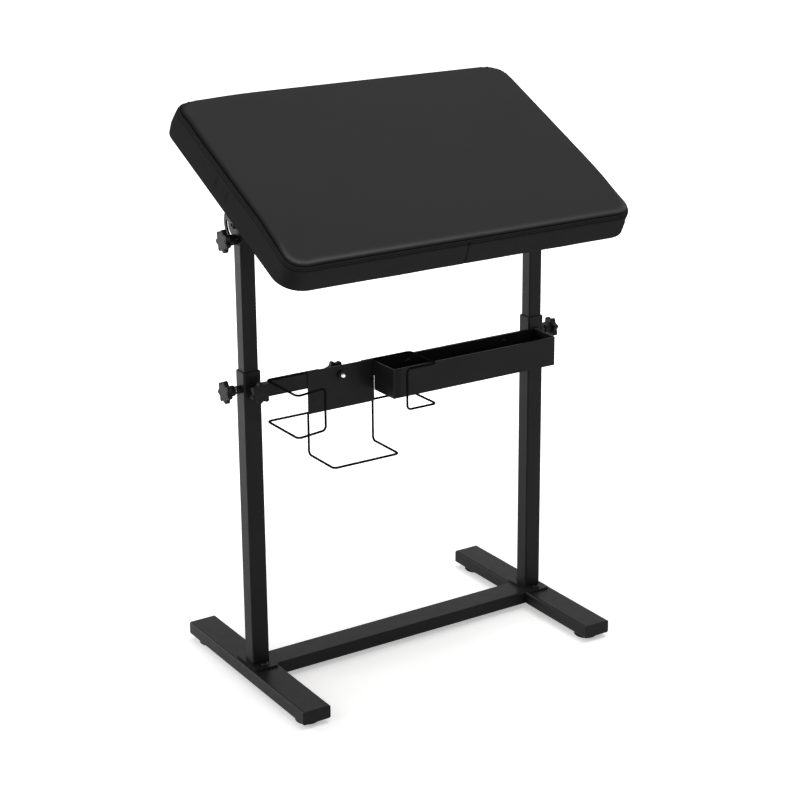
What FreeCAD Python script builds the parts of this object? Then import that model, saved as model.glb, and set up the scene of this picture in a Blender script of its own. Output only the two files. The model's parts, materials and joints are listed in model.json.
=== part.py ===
"""Arm rest stand: a padded, tilting desk top on two telescopic posts over an H-shaped base.

Millimetres, +Z up. The front of the stand, where the tray and the wire holders are, faces -Y.
The model is drawn with the posts on the plane Y = 0 and the floor at Z = 0, and is then moved so
that its origin is at the middle of the bottom of its bounding box.
"""
import FreeCAD
import Part

import math
import os

Vector = FreeCAD.Vector

# Legs, stretcher and their caps
LEG_SPACING = 509.0
LEG_LENGTH = 357.0
LEG_WIDTH = 46.0
LEG_HEIGHT = 20.5
LEG_WALL = 1.5
LEG_CORNER = 3.0
LEG_CAP_FLANGE = 2.0
LEG_CAP_PLUG = 14.0
PLUG_FIT = 0.1

# Foot pads under the legs
FOOT_DIAMETER = 36.0
FOOT_HEIGHT = 8.0
FOOT_INSET = 27.5
FOOT_CHAMFER = 1.2
FOOT_STEM_DIAMETER = 7.8
FOOT_STEM_LENGTH = 9.0
FOOT_STEM_FIT = 0.1

# Foot plates that carry the posts on the legs
POST_SPACING = 506.0
FOOT_PLATE_WIDTH = 38.0
FOOT_PLATE_LENGTH = 64.0
FOOT_PLATE_THICKNESS = 3.0
FOOT_PLATE_CORNER = 4.0
FOOT_BOLT_SPACING = 44.0
FOOT_BOLT_HEAD_DIAMETER = 11.5
FOOT_BOLT_HEAD_HEIGHT = 4.0
FOOT_BOLT_LENGTH = 14.0

# Fasteners: every stud, bolt and nut is of one thread size
THREAD_DIAMETER = 6.0
THREAD_FIT = 0.05
BOLT_HOLE_DIAMETER = 6.5
NUT_ACROSS_FLATS = 10.0
NUT_HEIGHT = 5.0

# Outer posts and the collars on their tops
OUTER_WIDTH = 28.0
OUTER_DEPTH = 25.5
OUTER_WALL = 1.2
OUTER_CORNER = 2.5
OUTER_TOP = 486.0
COLLAR_RIM = 4.0
COLLAR_CHAMFER = 0.8
COLLAR_SKIRT = 0.8
COLLAR_SKIRT_LENGTH = 14.0
COLLAR_FIT = 0.1
SLIDE_GAP = 0.3

# Inner posts
INNER_WALL = 1.2
INNER_CORNER = 2.0
INNER_LENGTH = 460.0
TOP_CAP_FLANGE = 2.0
TOP_CAP_PLUG = 4.5
GLIDE_FLANGE = 6.0
GLIDE_PLUG = 16.0

# Star knobs with seven lobes
KNOB_DIAMETER = 34.0
KNOB_LOBES = 7
KNOB_LOBE_RADIUS = 4.2
KNOB_VALLEY_RADIUS = 13.2
KNOB_BODY = 9.0
KNOB_CHAMFER = 1.0
KNOB_HUB_DIAMETER = 17.0
KNOB_HUB_TIP_DIAMETER = 15.5
KNOB_HUB = 10.0
KNOB_BORE_DEPTH = 12.5
STUD_IN_KNOB = 12.0

# Height locks on the outer sides of the outer posts
HEIGHT_LOCK_LEVEL = 463.0
LOCK_BOSS_DIAMETER = 12.0
LOCK_BOSS_HEIGHT = 7.0
HEIGHT_STUD_SHOWN = 3.0
TIP_GAP = 0.3

# Tool bar across the fronts of the outer posts
BAR_LENGTH = 521.0
BAR_HEIGHT = 23.0
BAR_THICKNESS = 3.0
BAR_MIDDLE_LEVEL = 460.7
BAR_CORNER = 4.0
BAR_KNOB_INBOARD = 4.0
BAR_SCREW_HEAD_DIAMETER = 10.5
BAR_SCREW_HEAD_HEIGHT = 3.5

# Accessory plate, clamped on the bar by a stud, a nut and a knob behind
PLATE_MIDDLE = -107.5
PLATE_WIDTH = 114.0
PLATE_HEIGHT = 66.0
PLATE_THICKNESS = 1.5
PLATE_CORNER = 2.0
PLATE_TOP_OVER_BAR = 3.4
PLATE_NUT_DIAMETER = 13.0
PLATE_STUD_SHOWN = 3.0

# Wire holders, all bent from one size of wire
WIRE_DIAMETER = 3.5
WIRE_BEND_RADIUS = 6.5
WIRE_WELD_LENGTH = 20.0
WIRE_GAP = 0.05
LOOP_OUTER_REACH = 123.5
LOOP_INNER_REACH = 72.5
LOOP_BOTTOM_OVER_PLATE = 1.6
LEFT_LOOP_OUTER_DEPTH = 89.0
LEFT_LOOP_INNER_DEPTH = 79.0
RIGHT_LOOP_DEPTH = 70.0
CENTRE_LOOP_DEPTH = 71.5
CENTRE_LOOP_DROP = 63.0
CENTRE_LOOP_INSET = 1.2

# Tray of folded sheet, open at the top
TRAY_LEFT_GAP = 0.3
TRAY_TO_SCREW_HEAD = 1.3
TRAY_DEPTH = 55.5
TRAY_HEIGHT = 45.3
TRAY_SHEET = 1.2
TRAY_CORNER = 2.0
TRAY_SCREW_DIAMETER = 5.0
TRAY_SCREW_HEAD_DIAMETER = 9.5
TRAY_SCREW_HEAD_HEIGHT = 2.5
TRAY_SCREW_HOLE_DIAMETER = 5.4
TRAY_NUT_ACROSS_FLATS = 8.0
TRAY_NUT_HEIGHT = 4.0
TRAY_SCREW_SHARES = (0.2, 0.8)

# Tilt pivots, slotted brackets and tilt locks
PIVOT_LEVEL = 706.0
POST_OVER_PIVOT = 10.0
SLOT_RADIUS = 21.5
SLOT_WIDTH = 7.0
SLOT_HALF_ANGLE = 63.0
BRACKET_THICKNESS = 3.0
BRACKET_WIDTH = 60.0
BRACKET_BELOW_PIVOT = 30.0
BRACKET_BOTTOM_CORNER = 29.0
BRACKET_BEND_RADIUS = 2.0
BRACKET_FLANGE = 44.0
BRACKET_GAP = 0.3
PIVOT_HEAD_DIAMETER = 12.0
PIVOT_HEAD_HEIGHT = 3.5
PIVOT_END_SHOWN = 1.5
TILT_STUD_TIP = 8.2
TILT_WASHER_DIAMETER = 15.0
TILT_WASHER_THICKNESS = 3.0
BRACKET_SCREW_DIAMETER = 4.0
BRACKET_SCREW_HEAD_DIAMETER = 8.0
BRACKET_SCREW_HEAD_HEIGHT = 2.2
BRACKET_SCREW_IN_BOARD = 9.0
BRACKET_SCREW_FIT = 0.1
BRACKET_SCREW_EDGE = 8.0

# Padded desk top
PAD_TILT = 26.5
PAD_OVER_PIVOT = 35.0
PAD_BACK_OFFSET = 4.8
PAD_WIDTH = 598.0
PAD_DEPTH = 401.5
PAD_THICKNESS = 40.2
PAD_CORNER = 40.0
PAD_SHOULDER = 3.2
PAD_CROWN = 1.6
PAD_DRAW_IN = 0.8
PAD_COVER_OVER_BOARD = 5.0
BOARD_THICKNESS = 12.0
PAD_SEAM_STEP = 0.9
# Each section of the cushion: its height as a share of the boxing's height or of the crown's, and
# how far it lies inside the fullest outline as a share of half the depth
BOXING_HEIGHT_SHARES = (0.0, 0.5, 1.0)
BOXING_INSET_SHARES = (0.003, 0.006, 0.003)
CROWN_HEIGHT_SHARES = (0.0, 0.58, 0.96)
CROWN_INSET_SHARES = (0.0, 0.35, 0.8)
# The same for the rounded edge of the top panel, both as shares of its height
SHOULDER_HEIGHT_SHARES = (0.0, 0.7, 1.0)
SHOULDER_INSET_SHARES = (0.0, 0.25, 1.0)

# Every cut runs past its piece by this much
OVERRUN = 2.0

# How near an edge must lie to a level to be picked for a chamfer or a fillet
PICK_TOLERANCE = 0.1

ORIGIN = Vector(0, 0, 0)
X_AXIS = Vector(1, 0, 0)
Y_AXIS = Vector(0, 1, 0)
Z_AXIS = Vector(0, 0, 1)
SIDES = {"left": -1, "right": 1}

# Levels and places that follow from the sizes above
LEG_TOP = FOOT_HEIGHT + LEG_HEIGHT
POST_BOTTOM = LEG_TOP + FOOT_PLATE_THICKNESS
COLLAR_STEP = OUTER_WALL + COLLAR_FIT + COLLAR_SKIRT + SLIDE_GAP
INNER_WIDTH = OUTER_WIDTH - 2 * COLLAR_STEP
INNER_DEPTH = OUTER_DEPTH - 2 * COLLAR_STEP
INNER_TOP = PIVOT_LEVEL + POST_OVER_PIVOT
INNER_BOTTOM = INNER_TOP - INNER_LENGTH
POST_FRONT = -OUTER_DEPTH / 2
BAR_FRONT = POST_FRONT - BAR_THICKNESS
BAR_TOP = BAR_MIDDLE_LEVEL + BAR_HEIGHT / 2
PLATE_FRONT = BAR_FRONT - PLATE_THICKNESS
PLATE_TOP = BAR_TOP + PLATE_TOP_OVER_BAR
PLATE_BOTTOM = PLATE_TOP - PLATE_HEIGHT
WIRE_RADIUS = WIRE_DIAMETER / 2
WIRE_PLANE = BAR_FRONT + WIRE_RADIUS
LOOP_TOP_LEVEL = BAR_TOP + WIRE_RADIUS + WIRE_GAP
LOOP_BOTTOM_LEVEL = PLATE_BOTTOM + LOOP_BOTTOM_OVER_PLATE
TRAY_LEFT = PLATE_MIDDLE + PLATE_WIDTH / 2 + TRAY_LEFT_GAP
TRAY_RIGHT = POST_SPACING / 2 - BAR_SCREW_HEAD_DIAMETER / 2 - TRAY_TO_SCREW_HEAD
TRAY_LENGTH = TRAY_RIGHT - TRAY_LEFT
TRAY_TOP = BAR_TOP
TILT_LOCK_LEVEL = PIVOT_LEVEL - SLOT_RADIUS
BRACKET_INNER_FACE = POST_SPACING / 2 + INNER_WIDTH / 2 + BRACKET_GAP
BRACKET_OUTER_FACE = BRACKET_INNER_FACE + BRACKET_THICKNESS
KNOB_LENGTH = KNOB_HUB + KNOB_BODY


def moved(shape, x=0.0, y=0.0, z=0.0):
    copy = shape.copy()
    copy.translate(Vector(x, y, z))
    return copy


def turned(shape, axis, angle, centre=ORIGIN):
    copy = shape.copy()
    copy.rotate(centre, axis, angle)
    return copy


def rod(diameter, start, direction, length):
    return Part.makeCylinder(diameter / 2, length, start, direction)


def closed_outline(arcs):
    """Joins a ring of arcs by straight sides and gives the closed wire."""
    edges = []
    for arc, following in zip(arcs, arcs[1:] + arcs[:1]):
        edges.append(arc.toShape())
        edges.append(Part.LineSegment(arc.EndPoint, following.StartPoint).toShape())
    return Part.Wire(edges)


def corner_arc(x, y, radius, quarter, level=0.0):
    """A quarter circle about (x, y), from the given quarter turn to the next."""
    points = []
    for share in (0.0, 0.5, 1.0):
        angle = (quarter + share) * math.pi / 2
        points.append(Vector(x + radius * math.cos(angle), y + radius * math.sin(angle), level))
    return Part.Arc(*points)


def rounded_rectangle(width, depth, radius, level=0.0):
    half_x = width / 2 - radius
    half_y = depth / 2 - radius
    places = ((half_x, half_y), (-half_x, half_y), (-half_x, -half_y), (half_x, -half_y))
    arcs = [corner_arc(x, y, radius, quarter, level) for quarter, (x, y) in enumerate(places)]
    return closed_outline(arcs)


def rounded_block(width, depth, radius, height, level=0.0):
    face = Part.Face(rounded_rectangle(width, depth, radius, level))
    return face.extrude(Vector(0, 0, height))


def rounded_tube(width, depth, radius, wall, height, level=0.0):
    outer = rounded_block(width, depth, radius, height, level)
    inner_radius = radius - wall / 2
    bore = rounded_block(width - 2 * wall, depth - 2 * wall, inner_radius,
                         height + 2 * OVERRUN, level - OVERRUN)
    return outer.cut(bore)


def plug_block(width, depth, radius, wall, length, level):
    """The part of a plastic plug that sits inside a tube of the given outer size."""
    shrink = 2 * (wall + PLUG_FIT)
    return rounded_block(width - shrink, depth - shrink, radius - wall / 2, length, level)


def hexagon_nut(across_flats, height, bore_diameter):
    """A nut about the Z axis, standing on Z = 0."""
    corner_radius = across_flats / math.sqrt(3)
    corners = []
    for step in range(7):
        angle = step * math.pi / 3
        corners.append(Vector(corner_radius * math.cos(angle), corner_radius * math.sin(angle), 0))
    body = Part.Face(Part.makePolygon(corners)).extrude(Vector(0, 0, height))
    return body.cut(rod(bore_diameter, Vector(0, 0, -OVERRUN), Z_AXIS, height + 2 * OVERRUN))


def thread_nut():
    return hexagon_nut(NUT_ACROSS_FLATS, NUT_HEIGHT, THREAD_DIAMETER + 2 * THREAD_FIT)


def headed_bolt(head_diameter, head_height, shank_diameter, shank_length):
    """A bolt about the Z axis: its head stands on Z = 0 and its shank points down."""
    head = rod(head_diameter, ORIGIN, Z_AXIS, head_height)
    shank = rod(shank_diameter, Vector(0, 0, -shank_length), Z_AXIS, shank_length)
    return head.fuse(shank).removeSplitter()


# Base

def leg_middle(side):
    return side * LEG_SPACING / 2


def post_middle(side):
    return side * POST_SPACING / 2


def foot_places():
    reach = LEG_LENGTH / 2 - FOOT_INSET
    return [(leg_middle(side), end * reach) for side in SIDES.values() for end in (-1, 1)]


def foot_bolt_places(side):
    return [(post_middle(side), end * FOOT_BOLT_SPACING / 2) for end in (-1, 1)]


def flat_tube(length):
    """A leg section drawn along X: its width along Y and its height along Z, standing on Z = 0."""
    tube = rounded_tube(LEG_HEIGHT, LEG_WIDTH, LEG_CORNER, LEG_WALL, length, -length / 2)
    return moved(turned(tube, Y_AXIS, 90), z=LEG_HEIGHT / 2)


def leg(side):
    tube = turned(flat_tube(LEG_LENGTH - 2 * LEG_CAP_FLANGE), Z_AXIS, 90)
    tube = moved(tube, leg_middle(side), 0, FOOT_HEIGHT)
    stem_hole = FOOT_STEM_DIAMETER + 2 * FOOT_STEM_FIT
    for x, y in foot_places():
        start = Vector(x, y, FOOT_HEIGHT - OVERRUN)
        tube = tube.cut(rod(stem_hole, start, Z_AXIS, LEG_WALL + 2 * OVERRUN))
    for x, y in foot_bolt_places(side):
        start = Vector(x, y, LEG_TOP + OVERRUN)
        tube = tube.cut(rod(BOLT_HOLE_DIAMETER, start, -Z_AXIS, LEG_WALL + 2 * OVERRUN))
    return tube


def stretcher():
    return moved(flat_tube(LEG_SPACING - LEG_WIDTH), z=FOOT_HEIGHT)


def leg_end_caps():
    caps = []
    for side in SIDES.values():
        for end in (-1, 1):
            flange = rounded_block(LEG_WIDTH, LEG_HEIGHT, LEG_CORNER, LEG_CAP_FLANGE)
            plug = plug_block(LEG_WIDTH, LEG_HEIGHT, LEG_CORNER, LEG_WALL, LEG_CAP_PLUG, -LEG_CAP_PLUG)
            cap = turned(flange.fuse(plug).removeSplitter(), X_AXIS, -90 * end)
            y = end * (LEG_LENGTH / 2 - LEG_CAP_FLANGE)
            caps.append(moved(cap, leg_middle(side), y, FOOT_HEIGHT + LEG_HEIGHT / 2))
    return caps


def foot_pads():
    """A round pad with chamfered rims, and the stem that is pushed into the leg."""
    radius = FOOT_DIAMETER / 2
    stem = FOOT_STEM_DIAMETER / 2
    profile = Part.makePolygon([
        ORIGIN,
        Vector(radius - FOOT_CHAMFER, 0, 0),
        Vector(radius, 0, FOOT_CHAMFER),
        Vector(radius, 0, FOOT_HEIGHT - FOOT_CHAMFER),
        Vector(radius - FOOT_CHAMFER, 0, FOOT_HEIGHT),
        Vector(stem, 0, FOOT_HEIGHT),
        Vector(stem, 0, FOOT_HEIGHT + FOOT_STEM_LENGTH),
        Vector(0, 0, FOOT_HEIGHT + FOOT_STEM_LENGTH),
        ORIGIN,
    ])
    pad = Part.Face(profile).revolve(ORIGIN, Z_AXIS, 360)
    return [moved(pad, x, y) for x, y in foot_places()]


def foot_plate(side):
    plate = rounded_block(FOOT_PLATE_WIDTH, FOOT_PLATE_LENGTH, FOOT_PLATE_CORNER, FOOT_PLATE_THICKNESS)
    plate = moved(plate, post_middle(side), 0, LEG_TOP)
    for x, y in foot_bolt_places(side):
        start = Vector(x, y, LEG_TOP - OVERRUN)
        plate = plate.cut(rod(BOLT_HOLE_DIAMETER, start, Z_AXIS, FOOT_PLATE_THICKNESS + 2 * OVERRUN))
    return plate


def foot_plate_bolts():
    bolt = headed_bolt(FOOT_BOLT_HEAD_DIAMETER, FOOT_BOLT_HEAD_HEIGHT, THREAD_DIAMETER, FOOT_BOLT_LENGTH)
    return [moved(bolt, x, y, POST_BOTTOM) for side in SIDES.values() for x, y in foot_bolt_places(side)]


def foot_plate_nuts():
    level = LEG_TOP - LEG_WALL - NUT_HEIGHT
    return [moved(thread_nut(), x, y, level) for side in SIDES.values() for x, y in foot_bolt_places(side)]


# Posts

def bar_fixing_place(side):
    """Where the bar is fixed across its length: the left knob is a little inboard of its post."""
    inboard = BAR_KNOB_INBOARD if side < 0 else 0
    return post_middle(side) - side * inboard


def bar_fixing_level(side):
    return HEIGHT_LOCK_LEVEL if side < 0 else BAR_MIDDLE_LEVEL


def outer_post(side):
    tube = rounded_tube(OUTER_WIDTH, OUTER_DEPTH, OUTER_CORNER, OUTER_WALL,
                        OUTER_TOP - POST_BOTTOM, POST_BOTTOM)
    tube = moved(tube, post_middle(side))
    side_face = post_middle(side) + side * (OUTER_WIDTH / 2 + OVERRUN)
    side_hole = rod(BOLT_HOLE_DIAMETER, Vector(side_face, 0, HEIGHT_LOCK_LEVEL), -side * X_AXIS,
                    OUTER_WALL + 2 * OVERRUN)
    front = Vector(bar_fixing_place(side), POST_FRONT - OVERRUN, bar_fixing_level(side))
    front_hole = rod(BOLT_HOLE_DIAMETER, front, Y_AXIS, OUTER_WALL + 2 * OVERRUN)
    return tube.cut(side_hole).cut(front_hole)


def collar(side):
    """A plastic bush: a rim as wide as the outer post, and a skirt between the two tubes."""
    rim = rounded_block(OUTER_WIDTH, OUTER_DEPTH, OUTER_CORNER, COLLAR_RIM, OUTER_TOP)
    top = OUTER_TOP + COLLAR_RIM
    top_edges = [edge for edge in rim.Edges if abs(edge.BoundBox.ZMin - top) < PICK_TOLERANCE]
    rim = rim.makeChamfer(COLLAR_CHAMFER, top_edges)
    skirt_shrink = 2 * (OUTER_WALL + COLLAR_FIT)
    skirt = rounded_block(OUTER_WIDTH - skirt_shrink, OUTER_DEPTH - skirt_shrink,
                          OUTER_CORNER - OUTER_WALL / 2, COLLAR_SKIRT_LENGTH,
                          OUTER_TOP - COLLAR_SKIRT_LENGTH)
    bore = rounded_block(INNER_WIDTH + 2 * SLIDE_GAP, INNER_DEPTH + 2 * SLIDE_GAP, INNER_CORNER,
                         COLLAR_SKIRT_LENGTH + COLLAR_RIM + 2 * OVERRUN,
                         OUTER_TOP - COLLAR_SKIRT_LENGTH - OVERRUN)
    return moved(rim.fuse(skirt).cut(bore).removeSplitter(), post_middle(side))


def height_lock_nuts():
    nuts = []
    for side in SIDES.values():
        start = Vector(post_middle(side) + side * OUTER_WIDTH / 2, 0, HEIGHT_LOCK_LEVEL)
        boss = rod(LOCK_BOSS_DIAMETER, start, side * X_AXIS, LOCK_BOSS_HEIGHT)
        bore = rod(THREAD_DIAMETER + 2 * THREAD_FIT, start - side * OVERRUN * X_AXIS, side * X_AXIS,
                   LOCK_BOSS_HEIGHT + 2 * OVERRUN)
        nuts.append(boss.cut(bore))
    return nuts


def inner_post(side):
    tube = rounded_tube(INNER_WIDTH, INNER_DEPTH, INNER_CORNER, INNER_WALL, INNER_LENGTH, INNER_BOTTOM)
    tube = moved(tube, post_middle(side))
    outside = post_middle(side) + side * (INNER_WIDTH / 2 + OVERRUN)
    pivot_hole = rod(BOLT_HOLE_DIAMETER, Vector(outside, 0, PIVOT_LEVEL), -side * X_AXIS,
                     INNER_WIDTH + 2 * OVERRUN)
    lock_hole = rod(BOLT_HOLE_DIAMETER, Vector(outside, 0, TILT_LOCK_LEVEL), -side * X_AXIS,
                    INNER_WALL + 2 * OVERRUN)
    return tube.cut(pivot_hole).cut(lock_hole)


def post_top_caps():
    caps = []
    for side in SIDES.values():
        flange = rounded_block(INNER_WIDTH, INNER_DEPTH, INNER_CORNER, TOP_CAP_FLANGE, INNER_TOP)
        plug = plug_block(INNER_WIDTH, INNER_DEPTH, INNER_CORNER, INNER_WALL, TOP_CAP_PLUG,
                          INNER_TOP - TOP_CAP_PLUG)
        caps.append(moved(flange.fuse(plug).removeSplitter(), post_middle(side)))
    return caps


def post_glides():
    """Plastic guides in the lower ends of the inner posts, which run in the outer posts."""
    shrink = 2 * (OUTER_WALL + SLIDE_GAP)
    glides = []
    for side in SIDES.values():
        flange = rounded_block(OUTER_WIDTH - shrink, OUTER_DEPTH - shrink, INNER_CORNER, GLIDE_FLANGE,
                               INNER_BOTTOM - GLIDE_FLANGE)
        plug = plug_block(INNER_WIDTH, INNER_DEPTH, INNER_CORNER, INNER_WALL, GLIDE_PLUG, INNER_BOTTOM)
        glides.append(moved(flange.fuse(plug).removeSplitter(), post_middle(side)))
    return glides


# Knobs and their studs

def star_outline(level):
    """Seven round lobes joined by hollow arcs that are tangent to them."""
    tip = KNOB_DIAMETER / 2
    lobe = KNOB_LOBE_RADIUS
    lobe_centre = tip - lobe
    half_step = math.pi / KNOB_LOBES
    cosine = math.cos(half_step)
    valley = KNOB_VALLEY_RADIUS
    top = lobe ** 2 - lobe_centre ** 2 - valley ** 2 + 2 * lobe_centre * valley * cosine
    hollow = top / (2 * (valley - lobe_centre * cosine - lobe))
    hollow_centre = valley + hollow
    reach = Vector(hollow_centre * cosine - lobe_centre, hollow_centre * math.sin(half_step), 0)
    touch = Vector(lobe_centre, 0, 0) + reach * (lobe / reach.Length)
    touch_radius = math.hypot(touch.x, touch.y)
    touch_angle = math.atan2(touch.y, touch.x)

    def point(radius, angle):
        return Vector(radius * math.cos(angle), radius * math.sin(angle), level)

    edges = []
    for index in range(KNOB_LOBES):
        angle = 2 * index * half_step
        following = angle + 2 * half_step
        edges.append(Part.Arc(point(touch_radius, angle - touch_angle), point(tip, angle),
                              point(touch_radius, angle + touch_angle)).toShape())
        edges.append(Part.Arc(point(touch_radius, angle + touch_angle),
                              point(valley, angle + half_step),
                              point(touch_radius, following - touch_angle)).toShape())
    return Part.Wire(edges)


def star_knob():
    """A knob about the Z axis: the hub's end is on Z = 0 and the lobed head is above it."""
    head = Part.Face(star_outline(KNOB_HUB)).extrude(Vector(0, 0, KNOB_BODY))
    face_edges = [edge for edge in head.Edges
                  if abs(edge.BoundBox.ZMin - KNOB_LENGTH) < PICK_TOLERANCE]
    head = head.makeChamfer(KNOB_CHAMFER, face_edges)
    hub = Part.makeCone(KNOB_HUB_TIP_DIAMETER / 2, KNOB_HUB_DIAMETER / 2, KNOB_HUB)
    bore = rod(THREAD_DIAMETER + 2 * THREAD_FIT, Vector(0, 0, -OVERRUN), Z_AXIS, KNOB_BORE_DEPTH + OVERRUN)
    return head.fuse(hub).cut(bore).removeSplitter()


def aimed(shape, direction, place):
    """Turns a shape drawn about +Z so that it points along direction, and sets it at place."""
    copy = shape.copy()
    copy.Placement = FreeCAD.Placement(place, FreeCAD.Rotation(Z_AXIS, direction))
    return copy


def knob_and_stud(direction, hub_end, tip_reach):
    """The stud runs from inside the knob to tip_reach beyond the hub's end."""
    knob = aimed(star_knob(), direction, hub_end)
    start = hub_end + direction * STUD_IN_KNOB
    stud = rod(THREAD_DIAMETER, start, -direction, STUD_IN_KNOB + tip_reach)
    return knob, stud


def height_knob(side):
    direction = side * X_AXIS
    boss_end = post_middle(side) + side * (OUTER_WIDTH / 2 + LOCK_BOSS_HEIGHT)
    hub_end = Vector(boss_end, 0, HEIGHT_LOCK_LEVEL) + direction * HEIGHT_STUD_SHOWN
    tip = post_middle(side) + side * (INNER_WIDTH / 2 + TIP_GAP)
    return knob_and_stud(direction, hub_end, abs(hub_end.x - tip))


def tilt_knob(side):
    direction = side * X_AXIS
    washer_end = BRACKET_OUTER_FACE + BRACKET_GAP + TILT_WASHER_THICKNESS
    hub_end = Vector(side * washer_end, 0, TILT_LOCK_LEVEL)
    wall_face = post_middle(side) + side * INNER_WIDTH / 2
    return knob_and_stud(direction, hub_end, abs(hub_end.x - wall_face) + TILT_STUD_TIP)


def bar_knob():
    side = SIDES["left"]
    hub_end = Vector(bar_fixing_place(side), BAR_FRONT - TIP_GAP, bar_fixing_level(side))
    tip = -INNER_DEPTH / 2 - TIP_GAP
    return knob_and_stud(-Y_AXIS, hub_end, abs(hub_end.y - tip))


def plate_knob():
    hub_end = Vector(PLATE_MIDDLE, POST_FRONT + TIP_GAP, BAR_MIDDLE_LEVEL)
    tip = PLATE_FRONT - NUT_HEIGHT - PLATE_STUD_SHOWN
    return knob_and_stud(Y_AXIS, hub_end, abs(hub_end.y - tip))


# Tool bar and accessories

def tray_screw_places():
    return [TRAY_LEFT + share * TRAY_LENGTH for share in TRAY_SCREW_SHARES]


def tool_bar():
    flat = rounded_block(BAR_LENGTH, BAR_HEIGHT, BAR_CORNER, BAR_THICKNESS)
    bar = moved(turned(flat, X_AXIS, 90), 0, POST_FRONT, BAR_MIDDLE_LEVEL)
    holes = [(bar_fixing_place(side), bar_fixing_level(side), BOLT_HOLE_DIAMETER) for side in SIDES.values()]
    holes.append((PLATE_MIDDLE, BAR_MIDDLE_LEVEL, BOLT_HOLE_DIAMETER))
    holes += [(x, BAR_MIDDLE_LEVEL, TRAY_SCREW_HOLE_DIAMETER) for x in tray_screw_places()]
    for x, level, diameter in holes:
        start = Vector(x, BAR_FRONT - OVERRUN, level)
        bar = bar.cut(rod(diameter, start, Y_AXIS, BAR_THICKNESS + 2 * OVERRUN))
    return bar


def bar_end_screw():
    side = SIDES["right"]
    reach = BAR_THICKNESS + OUTER_DEPTH / 2 - INNER_DEPTH / 2 - TIP_GAP
    screw = headed_bolt(BAR_SCREW_HEAD_DIAMETER, BAR_SCREW_HEAD_HEIGHT, THREAD_DIAMETER, reach)
    return moved(turned(screw, X_AXIS, 90), bar_fixing_place(side), BAR_FRONT, bar_fixing_level(side))


def accessory_plate():
    flat = rounded_block(PLATE_WIDTH, PLATE_HEIGHT, PLATE_CORNER, PLATE_THICKNESS)
    plate = moved(turned(flat, X_AXIS, 90), PLATE_MIDDLE, BAR_FRONT, (PLATE_TOP + PLATE_BOTTOM) / 2)
    start = Vector(PLATE_MIDDLE, PLATE_FRONT - OVERRUN, BAR_MIDDLE_LEVEL)
    return plate.cut(rod(BOLT_HOLE_DIAMETER, start, Y_AXIS, PLATE_THICKNESS + 2 * OVERRUN))


def plate_nut():
    start = Vector(PLATE_MIDDLE, PLATE_FRONT, BAR_MIDDLE_LEVEL)
    body = rod(PLATE_NUT_DIAMETER, start, -Y_AXIS, NUT_HEIGHT)
    bore = rod(THREAD_DIAMETER + 2 * THREAD_FIT, start + OVERRUN * Y_AXIS, -Y_AXIS, NUT_HEIGHT + 2 * OVERRUN)
    return body.cut(bore)


def bent_wire(points):
    """A round wire along straight runs joined by arcs of the bend radius."""
    edges = []
    start = points[0]
    for before, corner, after in zip(points, points[1:], points[2:]):
        inward = (before - corner).normalize()
        outward = (after - corner).normalize()
        half_turn = math.acos(-inward.dot(outward)) / 2
        back_off = WIRE_BEND_RADIUS * math.tan(half_turn)
        first = corner + inward * back_off
        last = corner + outward * back_off
        inside = (inward + outward).normalize()
        centre = corner + inside * (WIRE_BEND_RADIUS / math.cos(half_turn))
        middle = centre - inside * WIRE_BEND_RADIUS
        edges.append(Part.LineSegment(start, first).toShape())
        edges.append(Part.Arc(first, middle, last).toShape())
        start = last
    edges.append(Part.LineSegment(start, points[-1]).toShape())
    path = Part.Wire(edges)
    direction = (points[1] - points[0]).normalize()
    profile = Part.Wire([Part.Circle(points[0], direction, WIRE_RADIUS).toShape()])
    wire = path.makePipeShell([profile], True, False)
    expected = math.pi * WIRE_RADIUS ** 2 * path.Length
    print("wire length %.1f, volume over section times length %.5f" % (path.Length, wire.Volume / expected))
    return wire


def side_loop(side, outer_depth, inner_depth):
    """One wire: out along the bar, forward, across, down, and back the same way lower down."""
    weld = PLATE_MIDDLE + side * (PLATE_WIDTH / 2 - WIRE_WELD_LENGTH)
    outer = PLATE_MIDDLE + side * LOOP_OUTER_REACH
    inner = PLATE_MIDDLE + side * LOOP_INNER_REACH
    outer_front = WIRE_PLANE - outer_depth
    inner_front = WIRE_PLANE - inner_depth
    ring = [(weld, WIRE_PLANE), (outer, WIRE_PLANE), (outer, outer_front), (inner, inner_front)]
    upper = [Vector(x, y, LOOP_TOP_LEVEL) for x, y in ring]
    lower = [Vector(x, y, LOOP_BOTTOM_LEVEL) for x, y in reversed(ring)]
    return bent_wire(upper + lower)


def centre_loop():
    """A hanging frame: down from the plate's corners, forward and across."""
    half = PLATE_WIDTH / 2 - CENTRE_LOOP_INSET
    top = LOOP_BOTTOM_LEVEL - WIRE_RADIUS - WIRE_GAP
    bottom = PLATE_BOTTOM - CENTRE_LOOP_DROP
    front = WIRE_PLANE - CENTRE_LOOP_DEPTH
    left = PLATE_MIDDLE - half
    right = PLATE_MIDDLE + half
    return bent_wire([
        Vector(left, WIRE_PLANE, top),
        Vector(left, WIRE_PLANE, bottom),
        Vector(left, front, bottom),
        Vector(right, front, bottom),
        Vector(right, WIRE_PLANE, bottom),
        Vector(right, WIRE_PLANE, top),
    ])


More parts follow.
